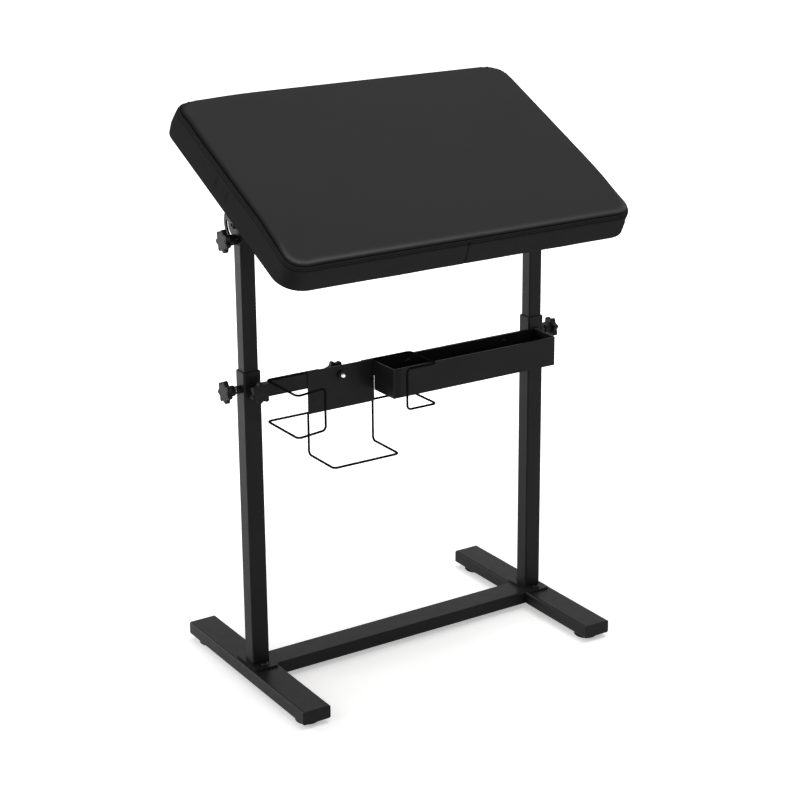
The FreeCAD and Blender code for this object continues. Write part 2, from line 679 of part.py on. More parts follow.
def tool_tray():
    bottom = TRAY_TOP - TRAY_HEIGHT
    outer = rounded_block(TRAY_LENGTH, TRAY_DEPTH, TRAY_CORNER, TRAY_HEIGHT, bottom)
    inner = rounded_block(TRAY_LENGTH - 2 * TRAY_SHEET, TRAY_DEPTH - 2 * TRAY_SHEET,
                          TRAY_CORNER - TRAY_SHEET, TRAY_HEIGHT, bottom + TRAY_SHEET)
    tray = moved(outer.cut(inner), TRAY_LEFT + TRAY_LENGTH / 2, BAR_FRONT - TRAY_DEPTH / 2)
    for x in tray_screw_places():
        start = Vector(x, BAR_FRONT + OVERRUN, BAR_MIDDLE_LEVEL)
        tray = tray.cut(rod(TRAY_SCREW_HOLE_DIAMETER, start, -Y_AXIS, TRAY_SHEET + 2 * OVERRUN))
    return tray


def tray_screws():
    length = TRAY_SHEET + BAR_THICKNESS + TRAY_NUT_HEIGHT
    screw = headed_bolt(TRAY_SCREW_HEAD_DIAMETER, TRAY_SCREW_HEAD_HEIGHT, TRAY_SCREW_DIAMETER, length)
    screw = turned(screw, X_AXIS, 90)
    return [moved(screw, x, BAR_FRONT - TRAY_SHEET, BAR_MIDDLE_LEVEL) for x in tray_screw_places()]


def tray_nuts():
    nut = hexagon_nut(TRAY_NUT_ACROSS_FLATS, TRAY_NUT_HEIGHT, TRAY_SCREW_DIAMETER + 2 * THREAD_FIT)
    nut = turned(nut, X_AXIS, -90)
    return [moved(nut, x, POST_FRONT, BAR_MIDDLE_LEVEL) for x in tray_screw_places()]


# Tilting top: drawn level about the pivot axis, then turned and lifted

def tilted(shape):
    return moved(turned(shape, X_AXIS, PAD_TILT), z=PIVOT_LEVEL)


def slot_point(radius, angle):
    """A point of the bracket's plane at an angle from straight below the pivot."""
    return Vector(0, radius * math.sin(angle), -radius * math.cos(angle))


def arc_slot(length):
    """A curved slot about the pivot, as a solid that runs along X."""
    half_angle = math.radians(SLOT_HALF_ANGLE)
    outer = SLOT_RADIUS + SLOT_WIDTH / 2
    inner = SLOT_RADIUS - SLOT_WIDTH / 2
    edges = []
    for sign in (1, -1):
        angle = sign * half_angle
        along = Vector(0, math.cos(angle), math.sin(angle)) * (sign * SLOT_WIDTH / 2)
        end = [slot_point(outer, angle), slot_point(SLOT_RADIUS, angle) + along, slot_point(inner, angle)]
        edges.append(Part.Arc(*end).toShape())
    for radius in (inner, outer):
        arc = [slot_point(radius, angle) for angle in (half_angle, 0, -half_angle)]
        edges.append(Part.Arc(*arc).toShape())
    outline = Part.Wire(Part.sortEdges(edges)[0])
    return moved(Part.Face(outline).extrude(Vector(length, 0, 0)), -length / 2)


def bracket_screw_places(side):
    outer = BRACKET_OUTER_FACE - BRACKET_THICKNESS - BRACKET_BEND_RADIUS - BRACKET_SCREW_EDGE
    inner = BRACKET_OUTER_FACE - BRACKET_FLANGE + BRACKET_SCREW_EDGE
    reach = BRACKET_WIDTH / 2 - BRACKET_SCREW_EDGE
    return [(side * x, end * reach) for x in (outer, inner) for end in (-1, 1)]


def tilt_bracket(side):
    """A bent plate: an upright with the pivot hole and the slot, and a flange under the board."""
    bend_outer = BRACKET_THICKNESS + BRACKET_BEND_RADIUS
    top = PAD_OVER_PIVOT
    under = top - BRACKET_THICKNESS
    half_width = BRACKET_WIDTH / 2
    bend_x = BRACKET_OUTER_FACE - bend_outer
    bend_z = top - bend_outer
    outer_bend = corner_arc(bend_x, bend_z, bend_outer, 0)
    inner_bend = corner_arc(bend_x, bend_z, BRACKET_BEND_RADIUS, 0)
    flange_end = BRACKET_OUTER_FACE - BRACKET_FLANGE
    edges = [
        Part.LineSegment(Vector(BRACKET_OUTER_FACE, -BRACKET_BELOW_PIVOT, 0), outer_bend.StartPoint),
        outer_bend,
        Part.LineSegment(outer_bend.EndPoint, Vector(flange_end, top, 0)),
        Part.LineSegment(Vector(flange_end, top, 0), Vector(flange_end, under, 0)),
        Part.LineSegment(Vector(flange_end, under, 0), inner_bend.EndPoint),
        inner_bend,
        Part.LineSegment(inner_bend.StartPoint, Vector(BRACKET_INNER_FACE, -BRACKET_BELOW_PIVOT, 0)),
        Part.LineSegment(Vector(BRACKET_INNER_FACE, -BRACKET_BELOW_PIVOT, 0),
                         Vector(BRACKET_OUTER_FACE, -BRACKET_BELOW_PIVOT, 0)),
    ]
    section = Part.Wire(Part.sortEdges([edge.toShape() for edge in edges])[0])
    sheet = Part.Face(section).extrude(Vector(0, 0, BRACKET_WIDTH))
    sheet = moved(turned(sheet, X_AXIS, 90), y=half_width)
    lower_edges = [edge for edge in sheet.Edges
                   if abs(edge.BoundBox.ZMax + BRACKET_BELOW_PIVOT) < PICK_TOLERANCE
                   and edge.BoundBox.YLength < PICK_TOLERANCE]
    sheet = sheet.makeFillet(BRACKET_BOTTOM_CORNER, lower_edges)
    middle = BRACKET_INNER_FACE + BRACKET_THICKNESS / 2
    through = BRACKET_THICKNESS + 2 * OVERRUN
    sheet = sheet.cut(moved(arc_slot(through), middle))
    pivot_hole = rod(THREAD_DIAMETER + 2 * THREAD_FIT, Vector(middle - through / 2, 0, 0), X_AXIS, through)
    sheet = sheet.cut(pivot_hole)
    for x, y in bracket_screw_places(SIDES["right"]):
        start = Vector(x, y, under - OVERRUN)
        sheet = sheet.cut(rod(BRACKET_SCREW_DIAMETER + 2 * BRACKET_SCREW_FIT, start, Z_AXIS, through))
    if side < 0:
        sheet = turned(sheet, Z_AXIS, 180)
    return tilted(sheet)


def bracket_screws():
    shank = BRACKET_THICKNESS + BRACKET_SCREW_IN_BOARD
    screw = headed_bolt(BRACKET_SCREW_HEAD_DIAMETER, BRACKET_SCREW_HEAD_HEIGHT,
                        BRACKET_SCREW_DIAMETER, shank)
    screw = turned(screw, X_AXIS, 180)
    level = PAD_OVER_PIVOT - BRACKET_THICKNESS
    return [tilted(moved(screw, x, y, level))
            for side in SIDES.values() for x, y in bracket_screw_places(side)]


def pivot_bolts():
    """A bolt through each bracket and inner post, with its head outside."""
    length = BRACKET_GAP + BRACKET_THICKNESS + BRACKET_GAP + INNER_WIDTH + NUT_HEIGHT + PIVOT_END_SHOWN
    bolts = []
    for side in SIDES.values():
        bolt = headed_bolt(PIVOT_HEAD_DIAMETER, PIVOT_HEAD_HEIGHT, THREAD_DIAMETER, length)
        place = Vector(side * (BRACKET_OUTER_FACE + BRACKET_GAP), 0, PIVOT_LEVEL)
        bolts.append(aimed(bolt, side * X_AXIS, place))
    return bolts


def pivot_nuts():
    nuts = []
    for side in SIDES.values():
        place = Vector(post_middle(side) - side * INNER_WIDTH / 2, 0, PIVOT_LEVEL)
        nuts.append(aimed(thread_nut(), -side * X_AXIS, place))
    return nuts


def tilt_lock_nuts():
    """Nuts welded inside the inner posts, behind the holes for the tilt studs."""
    nuts = []
    for side in SIDES.values():
        place = Vector(post_middle(side) + side * (INNER_WIDTH / 2 - INNER_WALL), 0, TILT_LOCK_LEVEL)
        nuts.append(aimed(thread_nut(), -side * X_AXIS, place))
    return nuts


def tilt_washers():
    washers = []
    for side in SIDES.values():
        bore = rod(THREAD_DIAMETER + 2 * THREAD_FIT, Vector(0, 0, -OVERRUN), Z_AXIS,
                   TILT_WASHER_THICKNESS + 2 * OVERRUN)
        washer = rod(TILT_WASHER_DIAMETER, ORIGIN, Z_AXIS, TILT_WASHER_THICKNESS).cut(bore)
        place = Vector(side * (BRACKET_OUTER_FACE + BRACKET_GAP), 0, TILT_LOCK_LEVEL)
        washers.append(aimed(washer, side * X_AXIS, place))
    return washers


def board_blank(extra_height=0.0):
    shrink = 2 * PAD_COVER_OVER_BOARD
    return rounded_block(PAD_WIDTH - shrink, PAD_DEPTH - shrink, PAD_CORNER - PAD_COVER_OVER_BOARD,
                         BOARD_THICKNESS + extra_height, PAD_OVER_PIVOT - extra_height)


def pad_board():
    board = moved(board_blank(), y=PAD_BACK_OFFSET)
    for side in SIDES.values():
        for x, y in bracket_screw_places(side):
            start = Vector(x, y, PAD_OVER_PIVOT - OVERRUN)
            board = board.cut(rod(BRACKET_SCREW_DIAMETER, start, Z_AXIS, OVERRUN + BRACKET_SCREW_IN_BOARD))
    return tilted(board)


def side_arc(start, end, inward):
    """A side of the cushion, drawn in towards its middle by a shallow arc."""
    return Part.Arc(start, (start + end) / 2 + inward, end)


def cushion_section(inset, level):
    shrink_share = 1 - inset / (PAD_DEPTH / 2)
    radius = PAD_CORNER * shrink_share
    half_x = PAD_WIDTH / 2 - inset - radius
    half_y = PAD_DEPTH / 2 - inset - radius
    places = ((half_x, half_y), (-half_x, half_y), (-half_x, -half_y), (half_x, -half_y))
    arcs = [corner_arc(x, y, radius, quarter, level) for quarter, (x, y) in enumerate(places)]
    inward = (Vector(0, -PAD_DRAW_IN, 0), Vector(PAD_DRAW_IN, 0, 0),
              Vector(0, PAD_DRAW_IN, 0), Vector(-PAD_DRAW_IN, 0, 0))
    edges = []
    for arc, following, pull in zip(arcs, arcs[1:] + arcs[:1], inward):
        edges.append(arc.toShape())
        edges.append(side_arc(arc.EndPoint, following.StartPoint, pull).toShape())
    return Part.Wire(edges)


def cushion_loft(inset, level, inset_scale, height_scale, inset_shares, height_shares):
    """A layer of the cushion that starts at the given inset and level."""
    sections = []
    for inset_share, height_share in zip(inset_shares, height_shares):
        section = cushion_section(inset + inset_share * inset_scale, level + height_share * height_scale)
        sections.append(section)
    return Part.makeLoft(sections, True, False)


def pad_cushion():
    """Foam in its sewn cover: boxing with a waist, a seam step, a rounded shoulder and a crown."""
    half_depth = PAD_DEPTH / 2
    boxing = cushion_loft(0, PAD_OVER_PIVOT, half_depth, PAD_THICKNESS,
                          BOXING_INSET_SHARES, BOXING_HEIGHT_SHARES)
    seam_inset = BOXING_INSET_SHARES[-1] * half_depth + PAD_SEAM_STEP
    seam_level = PAD_OVER_PIVOT + PAD_THICKNESS
    shoulder = cushion_loft(seam_inset, seam_level, PAD_SHOULDER, PAD_SHOULDER,
                            SHOULDER_INSET_SHARES, SHOULDER_HEIGHT_SHARES)
    crown = cushion_loft(seam_inset + PAD_SHOULDER, seam_level + PAD_SHOULDER, half_depth, PAD_CROWN,
                         CROWN_INSET_SHARES, CROWN_HEIGHT_SHARES)
    foam = boxing.fuse(shoulder).fuse(crown)
    foam = foam.cut(board_blank(OVERRUN))
    return tilted(moved(foam, y=PAD_BACK_OFFSET))


def all_pieces():
    pieces = {
        "stretcher": stretcher(),
        "leg_end_caps": leg_end_caps(),
        "foot_pads": foot_pads(),
        "foot_plate_bolts": foot_plate_bolts(),
        "foot_plate_nuts": foot_plate_nuts(),
        "height_lock_nuts": height_lock_nuts(),
        "post_top_caps": post_top_caps(),
        "post_glides": post_glides(),
        "tool_bar": tool_bar(),
        "bar_end_screw": bar_end_screw(),
        "accessory_plate": accessory_plate(),
        "plate_nut": plate_nut(),
        "left_wire_holder": side_loop(SIDES["left"], LEFT_LOOP_OUTER_DEPTH, LEFT_LOOP_INNER_DEPTH),
        "right_wire_holder": side_loop(SIDES["right"], RIGHT_LOOP_DEPTH, RIGHT_LOOP_DEPTH),
        "centre_wire_holder": centre_loop(),
        "tool_tray": tool_tray(),
        "tray_screws": tray_screws(),
        "tray_nuts": tray_nuts(),
        "pivot_bolts": pivot_bolts(),
        "pivot_nuts": pivot_nuts(),
        "tilt_lock_nuts": tilt_lock_nuts(),
        "tilt_washers": tilt_washers(),
        "bracket_screws": bracket_screws(),
        "pad_board": pad_board(),
        "pad_cushion": pad_cushion(),
    }
    for name, side in SIDES.items():
        pieces[name + "_leg"] = leg(side)
        pieces[name + "_foot_plate"] = foot_plate(side)
        pieces[name + "_outer_post"] = outer_post(side)
        pieces[name + "_inner_post"] = inner_post(side)
        pieces[name + "_collar"] = collar(side)
        pieces[name + "_tilt_bracket"] = tilt_bracket(side)
        pieces[name + "_height_knob"], pieces[name + "_height_stud"] = height_knob(side)
        pieces[name + "_tilt_knob"], pieces[name + "_tilt_stud"] = tilt_knob(side)
    pieces["bar_knob"], pieces["bar_stud"] = bar_knob()
    pieces["plate_knob"], pieces["plate_stud"] = plate_knob()
    return pieces


def main():
    os.makedirs("parts", exist_ok=True)
    shapes = {}
    for name, piece in all_pieces().items():
        shapes[name] = Part.makeCompound(piece) if isinstance(piece, list) else piece
    boxes = [shape.optimalBoundingBox(False, False) for shape in shapes.values()]
    middle_y = (min(box.YMin for box in boxes) + max(box.YMax for box in boxes)) / 2
    print("posts lie at Y = %.4f once the origin is set" % -middle_y)
    for name, shape in shapes.items():
        for solid in shape.Solids:
            if not solid.isValid() or solid.Volume <= 0:
                print("check the solid in", name)
        moved(shape, y=-middle_y).exportStep("parts/%s.step" % name)
    print(len(shapes), "parts,", sum(len(shape.Solids) for shape in shapes.values()), "solids")


main()
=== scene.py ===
import json
import math

import bmesh
import bpy
from mathutils import Matrix, Vector, noise


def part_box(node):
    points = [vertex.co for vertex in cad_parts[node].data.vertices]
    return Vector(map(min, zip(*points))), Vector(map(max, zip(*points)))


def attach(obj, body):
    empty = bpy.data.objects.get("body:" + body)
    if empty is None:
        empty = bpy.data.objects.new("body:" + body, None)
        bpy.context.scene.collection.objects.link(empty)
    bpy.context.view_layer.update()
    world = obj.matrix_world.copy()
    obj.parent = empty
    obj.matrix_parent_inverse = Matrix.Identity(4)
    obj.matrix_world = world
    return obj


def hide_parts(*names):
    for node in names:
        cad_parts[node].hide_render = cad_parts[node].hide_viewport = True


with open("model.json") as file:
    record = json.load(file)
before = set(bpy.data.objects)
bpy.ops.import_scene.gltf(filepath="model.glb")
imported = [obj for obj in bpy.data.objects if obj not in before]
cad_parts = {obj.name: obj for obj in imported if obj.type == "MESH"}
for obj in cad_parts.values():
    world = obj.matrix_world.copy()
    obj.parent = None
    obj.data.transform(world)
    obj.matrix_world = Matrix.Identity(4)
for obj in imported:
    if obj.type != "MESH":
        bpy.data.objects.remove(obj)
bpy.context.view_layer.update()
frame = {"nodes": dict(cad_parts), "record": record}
MM = 0.001

# Directions: the front of the stand, where the tray is, faces -Y
LEFT = Vector((-1, 0, 0))
RIGHT = Vector((1, 0, 0))
FRONT = Vector((0, -1, 0))
BACK = Vector((0, 1, 0))
UP = Vector((0, 0, 1))

# The padded top is modelled level about the pivot axis, and then tilted
POST_Y = sum(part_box("left_outer_post"), Vector()).y / 2
PIVOT_LEVEL = 706 * MM
PAD_TILT = 26.5
PIVOT = Vector((0, POST_Y, PIVOT_LEVEL))
TILT = Matrix.Translation(PIVOT) @ Matrix.Rotation(math.radians(PAD_TILT), 4, "X")

# Padded top, in its level frame: its middle lies PAD_BACK behind the pivot axis
PAD_WIDTH = 598 * MM
PAD_DEPTH = 401.5 * MM
PAD_BACK = 4.8 * MM
PAD_CORNER = 40 * MM
PAD_UNDER = 35 * MM
SEAM_HEIGHT = 40.2 * MM
CROWN = 4.6 * MM
SEAM_LEVEL = PAD_UNDER + SEAM_HEIGHT
PAD_TOP = SEAM_LEVEL + CROWN
LEFT_SIDE = -PAD_WIDTH / 2
RIGHT_SIDE = PAD_WIDTH / 2
FRONT_SIDE = PAD_BACK - PAD_DEPTH / 2
BACK_SIDE = PAD_BACK + PAD_DEPTH / 2

# The outline's inner rectangle, about which its corners turn, and the outline's whole length
CORE_X = PAD_WIDTH / 2 - PAD_CORNER
CORE_Y = PAD_DEPTH / 2 - PAD_CORNER
QUARTER_ARC = math.pi / 2 * PAD_CORNER
OUTLINE_LENGTH = 4 * (CORE_X + CORE_Y + QUARTER_ARC)

# Threaded steel from its middle to the crest, a little under the nominal 6 and 5 mm across
M6_RADIUS = 2.97 * MM
M5_RADIUS = 2.47 * MM

# The camera solved from the photograph's own edges: angles in degrees, the shift as shares of the
# picture and the place from the floor under the middle of the posts
CAMERA_AZIMUTH = -31.503
CAMERA_PITCH = 16.61
CAMERA_ROLL = -0.829
CAMERA_LENS_MM = 83.672
CAMERA_SENSOR_MM = 36
CAMERA_SHIFT_SHARES = (0.05, -0.085)
CAMERA_PLACE = Vector((-1445.988, -2255.876, 1303.9)) * MM

# Soft lights in metres and watts: name, place, width, height and power
LIGHTS_AIM = Vector((0, 0, 0.45))
LIGHTS = (
    ("key_from_left", Vector((-2.4, -0.6, 1.9)), 1.4, 1.4, 8),
    ("top_light", Vector((0.35, -0.1, 2.8)), 1.9, 1.6, 48),
    ("back_left_light", Vector((-1.9, 2.5, 0.9)), 1.4, 1.6, 42),
)


# Modelling: how much of a normal lies along an axis where a face counts as facing that way, and
# how near two places are that count as one level or one corner
FACING = 0.9
MOSTLY_FACING = 0.7
BARELY_FACING = 0.5
SAME_LEVEL = 0.1 * MM
SAME_CORNER = 0.002 * MM
SAME_TURNED_CORNER = 0.001 * MM


# Small helpers

def hump(value, middle, width):
    """A smooth hump: one at its middle, near nought two widths away."""
    return math.exp(-((value - middle) / width) ** 2)


def clamped(value):
    return max(0.0, min(1.0, value))


def ramp(value, first, length):
    """Nought up to the first value, one from a length further on, straight between them."""
    return clamped((value - first) / length)


def spread(first, last, count):
    """Evenly spaced values from the first to the last."""
    return [first + step * (last - first) / (count - 1) for step in range(count)]


def ripple(place, scales):
    """Smooth noise at a place, with its own scale along each axis."""
    return noise.noise(Vector([value * scale for value, scale in zip(place, scales)]))


def object_mode():
    if bpy.context.mode != "OBJECT":
        bpy.ops.object.mode_set(mode="OBJECT")


def only(*pieces):
    """Selects these pieces and nothing else; the first is the active one."""
    object_mode()
    bpy.ops.object.select_all(action="DESELECT")
    for piece in pieces:
        piece.select_set(True)
    bpy.context.view_layer.objects.active = pieces[0]


def start(name):
    """Names the piece that was just added, and selects it."""
    piece = bpy.context.active_object
    piece.name = name
    piece.data.name = name
    only(piece)
    return piece


def linked(name, data):
    """A new object with this data in the scene."""
    piece = bpy.data.objects.new(name, data)
    bpy.context.scene.collection.objects.link(piece)
    return piece


def choose(piece, kind, test):
    """Selects the faces, edges or vertices that pass the test, in edit mode."""
    if bpy.context.mode != "EDIT_MESH":
        only(piece)
        bpy.ops.object.mode_set(mode="EDIT")
    bpy.ops.mesh.select_mode(type={"verts": "VERT", "edges": "EDGE", "faces": "FACE"}[kind])
    bpy.ops.mesh.select_all(action="DESELECT")
    mesh = bmesh.from_edit_mesh(piece.data)
    for item in getattr(mesh, kind):
        item.select_set(bool(test(item)))
    mesh.select_flush_mode()
    bmesh.update_edit_mesh(piece.data)


def settle(piece):
    """Puts the piece's place into its mesh, and its object at the origin."""
    only(piece)
    bpy.ops.object.transform_apply(location=True, rotation=True, scale=True)


def apply_modifier(piece, kind, **settings):
    only(piece)
    modifier = piece.modifiers.new(kind.lower(), kind)
    for key, value in settings.items():
        setattr(modifier, key, value)
    bpy.ops.object.modifier_apply(modifier=modifier.name)


def smooth(piece, angle=35):
    """Shades smooth across edges that turn less than an angle in degrees."""
    only(piece)
    bpy.ops.object.shade_smooth_by_angle(angle=math.radians(angle))


def outward(piece):
    """Closes doubled corners and turns every face outwards."""
    choose(piece, "verts", lambda vert: True)
    bpy.ops.mesh.remove_doubles(threshold=SAME_CORNER)
    bpy.ops.mesh.normals_make_consistent(inside=False)
    object_mode()


def joined(name, pieces):
    only(*pieces)
    if len(pieces) > 1:
        bpy.ops.object.join()
    return start(name)


def copied(piece, matrix):
    twin = linked(piece.name, piece.data.copy())
    twin.data.transform(matrix)
    return twin


def facing(direction, place):
    """The matrix that turns +Z along a direction and moves the origin to a place."""
    turn = UP.rotation_difference(direction).to_matrix().to_4x4()
    return Matrix.Translation(place) @ turn


def hand_over(piece, material, slot, body, *stands_for):
    """Gives a finished piece its material and body, and hides the CAD nodes that it stands for. The slot
    is not used.
    """
    piece.data.materials.clear()
    piece.data.materials.append(material)
    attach(piece, body)
    if stands_for:
        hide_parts(*stands_for)


# Materials

# Where most values of a noise texture lie
NOISE_SPREAD = (0.3, 0.7)


class Finish:
    """A node material that is read in the object's own coordinates. Its plain colour is what shows
    where the colour nodes can't be read."""

    def __init__(self, name, colour, roughness, metallic=0.0):
        self.material = bpy.data.materials.new(name)
        self.material.use_nodes = True
        self.tree = self.material.node_tree
        self.shader = self.tree.nodes["Principled BSDF"]
        self.uniform("Base Color", (*colour, 1))
        self.uniform("Roughness", roughness)
        self.uniform("Metallic", metallic)
        self.place = self.add("ShaderNodeTexCoord").outputs["Object"]
        self.height = None

    def uniform(self, socket, value):
        """Sets one of the shader's own values."""
        self.shader.inputs[socket].default_value = value

    def gleam(self, level):
        self.uniform("Specular IOR Level", level)

    def link(self, output, entry):
        self.tree.links.new(output, entry)

    def add(self, kind, **settings):
        node = self.tree.nodes.new(kind)
        for key, value in settings.items():
            setattr(node, key, value)
        return node

    def stretched(self, scale):
        mapping = self.add("ShaderNodeMapping")
        mapping.inputs["Scale"].default_value = scale
        self.link(self.place, mapping.inputs["Vector"])
        return mapping.outputs["Vector"]

    def grain(self, scale, detail=3.0, rough=0.5, place=None):
        texture = self.add("ShaderNodeTexNoise")
        texture.inputs["Scale"].default_value = scale
        texture.inputs["Detail"].default_value = detail
        texture.inputs["Roughness"].default_value = rough
        self.link(place or self.place, texture.inputs["Vector"])
        return texture.outputs["Fac"]

    def cells(self, scale, feature="F1"):
        texture = self.add("ShaderNodeTexVoronoi", feature=feature)
        texture.inputs["Scale"].default_value = scale
        self.link(self.place, texture.inputs["Vector"])
        return texture.outputs["Distance"]

    def attribute(self, name):
        return self.add("ShaderNodeAttribute", attribute_name=name).outputs["Fac"]

    def product(self, first, second):
        node = self.add("ShaderNodeMath", operation="MULTIPLY")
        self.link(first, node.inputs[0])
        self.link(second, node.inputs[1])
        return node.outputs["Value"]

    def mapped(self, value, source, result, **settings):
        """Stretches the source range of a value to the result range."""
        node = self.add("ShaderNodeMapRange", **settings)
        for key, number in zip(("From Min", "From Max", "To Min", "To Max"), (*source, *result)):
            node.inputs[key].default_value = number
        self.link(value, node.inputs["Value"])
        return node.outputs["Result"]

    def colours(self, value, *stops):
        """Colours the base between stops of (place, colour)."""
        blend = self.add("ShaderNodeValToRGB")
        points = blend.color_ramp.elements
        while len(points) < len(stops):
            points.new(position=0.5)
        for point, (place, colour) in zip(points, stops):
            point.position = place
            point.color = (*colour, 1)
        self.link(value, blend.inputs["Fac"])
        self.link(blend.outputs["Color"], self.shader.inputs["Base Color"])

    def uneven_gloss(self, value, low, high):
        roughness = self.mapped(value, source=NOISE_SPREAD, result=(low, high))
        self.link(roughness, self.shader.inputs["Roughness"])

    def bump(self, value, strength, depth):
        """Adds a relief on top of those that the material already has."""
        node = self.add("ShaderNodeBump")
        node.inputs["Strength"].default_value = strength
        node.inputs["Distance"].default_value = depth
        self.link(value, node.inputs["Height"])
        if self.height:
            self.link(self.height, node.inputs["Normal"])
        self.height = node.outputs["Normal"]
        self.link(self.height, self.shader.inputs["Normal"])


def powder_coat():
    """Satin black powder coat with a faint orange peel and dust in the satin."""
    paint = Finish("black_powder_coat", colour=(0.010, 0.010, 0.0104), roughness=0.4)
    dark = (0.0085, 0.0085, 0.0088)
    light = (0.0115, 0.0115, 0.0119)
    paint.colours(paint.grain(scale=14, detail=4), (0.35, dark), (0.7, light))
    paint.uneven_gloss(paint.grain(scale=60), low=0.34, high=0.42)
    paint.gleam(0.09)
    paint.bump(paint.grain(scale=900, detail=2), strength=0.16, depth=0.06 * MM)
    paint.bump(paint.grain(scale=3800, detail=1), strength=0.05, depth=0.02 * MM)
    return paint.material


def wire_paint():
    """The same black on thin wire, smoother and without a gleam."""
    paint = Finish("black_wire_coat", colour=(0.008, 0.008, 0.0083), roughness=0.34)
    dark = (0.007, 0.007, 0.0073)
    light = (0.010, 0.010, 0.0104)
    paint.colours(paint.grain(scale=40), (0.3, dark), (0.7, light))
    paint.gleam(0.0)
    paint.bump(paint.grain(scale=1500, detail=2), strength=0.08, depth=0.03 * MM)
    return paint.material


def blackened_steel():
    steel = Finish("black_hardware", colour=(0.009, 0.009, 0.0094), roughness=0.38)
    dark = (0.007, 0.007, 0.0074)
    light = (0.012, 0.012, 0.0125)
    steel.colours(steel.grain(scale=220), (0.3, dark), (0.75, light))
    steel.gleam(0.12)
    steel.uneven_gloss(steel.grain(scale=300), low=0.3, high=0.46)
    steel.bump(steel.grain(scale=2600, detail=2), strength=0.1, depth=0.02 * MM)
    return steel.material


def zinc():
    plating = Finish("bright_zinc", colour=(0.80, 0.80, 0.81), roughness=0.25, metallic=1.0)
    dull = (0.74, 0.74, 0.76)
    bright = (0.88, 0.88, 0.88)
    plating.colours(plating.grain(scale=500), (0.3, dull), (0.7, bright))
    plating.uneven_gloss(plating.grain(scale=900), low=0.2, high=0.34)
    return plating.material


def black_plastic(name, roughness, patch_scale):
    """Black plastic with a faint unevenness of its colour, still without a relief."""
    plastic = Finish(name, colour=(0.011, 0.011, 0.0114), roughness=roughness)
    dark = (0.009, 0.009, 0.0094)
    light = (0.013, 0.013, 0.0134)
    plastic.colours(plastic.grain(scale=patch_scale), (0.3, dark), (0.7, light))
    plastic.gleam(0.1)
    return plastic


def moulded_plastic():
    plastic = black_plastic("knob_plastic", roughness=0.48, patch_scale=120)
    plastic.bump(plastic.cells(scale=2600), strength=0.16, depth=0.05 * MM)
    return plastic.material


def trim_plastic():
    plastic = black_plastic("trim_plastic", roughness=0.46, patch_scale=90)
    plastic.bump(plastic.grain(scale=1800, detail=2), strength=0.08, depth=0.03 * MM)
    return plastic.material


def foot_rubber():
    rubber = Finish("foot_rubber", colour=(0.012, 0.012, 0.012), roughness=0.78)
    dark = (0.010, 0.010, 0.010)
    light = (0.015, 0.015, 0.015)
    rubber.colours(rubber.grain(scale=70), (0.3, dark), (0.75, light))
    rubber.gleam(0.1)
    rubber.bump(rubber.grain(scale=1300), strength=0.2, depth=0.06 * MM)
    return rubber.material


def cover_leather():
    """Artificial leather: fine pebbles with creases between them, and a soft satin. An attribute of
    the cover holds painted shade for its seams, creases and left side, and the roll attribute lets its
    front edge gleam."""
    cover = Finish("cover_leather", colour=(0.024, 0.024, 0.0242), roughness=0.46)
    black = (0, 0, 0)
    leather = (0.030, 0.030, 0.0302)
    tone = cover.mapped(cover.grain(scale=9, detail=5), source=(0.3, 0.72), result=(0.97, 1.03))
    # Painted shade: the cover's shade attribute darkens the base colour and also dims the gleam
    lit = cover.mapped(cover.attribute("painted_shade"), source=(0.0, 1.0), result=(1.0, 0.12))
    cover.colours(cover.product(tone, lit), (0.0, black), (1.0, leather))
    cover.uneven_gloss(cover.grain(scale=35, detail=4), low=0.38, high=0.46)
    gloss = cover.mapped(cover.attribute("roll"), source=(0.0, 1.0), result=(0.0, 0.12))
    cover.link(cover.product(gloss, lit), cover.shader.inputs["Specular IOR Level"])
    edges = cover.cells(scale=900, feature="DISTANCE_TO_EDGE")
    pebbles = cover.mapped(edges, source=(0.0, 0.25), result=(0.0, 1.0))
    cover.bump(pebbles, strength=0.14, depth=0.05 * MM)
    cover.bump(cover.grain(scale=260, detail=4), strength=0.08, depth=0.12 * MM)
    return cover.material


def stitch_thread():
    thread = Finish("stitch_thread", colour=(0.022, 0.022, 0.0224), roughness=0.62)
    dark = (0.018, 0.018, 0.0184)
    light = (0.028, 0.028, 0.0284)
    thread.colours(thread.grain(scale=2500), (0.3, dark), (0.7, light))
    thread.gleam(0.05)
    thread.uniform("Sheen Weight", 0.02)
    return thread.material


def plywood():
    """Pale plywood: long uneven grain over fine pores."""
    wood = Finish("board_plywood", colour=(0.40, 0.28, 0.17), roughness=0.62)
    dark = (0.34, 0.23, 0.13)
    middle = (0.42, 0.30, 0.18)
    light = (0.47, 0.345, 0.215)
    along = wood.grain(scale=3.2, detail=6, rough=0.62, place=wood.stretched(scale=(1, 9, 9)))
    wood.colours(along, (0.32, dark), (0.52, middle), (0.7, light))
    pores = wood.grain(scale=60, detail=4, place=wood.stretched(scale=(1, 22, 22)))
    wood.uneven_gloss(pores, low=0.55, high=0.7)
    wood.bump(pores, strength=0.25, depth=0.15 * MM)
    return wood.material


POWDER = powder_coat()
WIRE = wire_paint()
BLACK_STEEL = blackened_steel()
ZINC = zinc()
KNOB = moulded_plastic()
TRIM = trim_plastic()
RUBBER = foot_rubber()
LEATHER = cover_leather()
THREAD = stitch_thread()
WOOD = plywood()

SLOT_MATERIALS = {
    "frame_paint": POWDER,
    "black_hardware": BLACK_STEEL,
    "plastic_trim": TRIM,
    "foot_rubber": RUBBER,
    "knob_plastic": KNOB,
    "bright_steel": ZINC,
    "board_wood": WOOD,
    "cover_leather": LEATHER,
}


def paint_frame():
    """Gives every CAD node the material of its slot, and the wire holders that of wire."""
    for part in frame["record"]["subparts"]:
        material = SLOT_MATERIALS[part["material_slot"]]
        if "wire" in part["node"]:
            material = WIRE
        target = frame["nodes"][part["node"]]
        target.data.materials.clear()
        target.data.materials.append(material)


# Padded top: the block that the cloth starts from

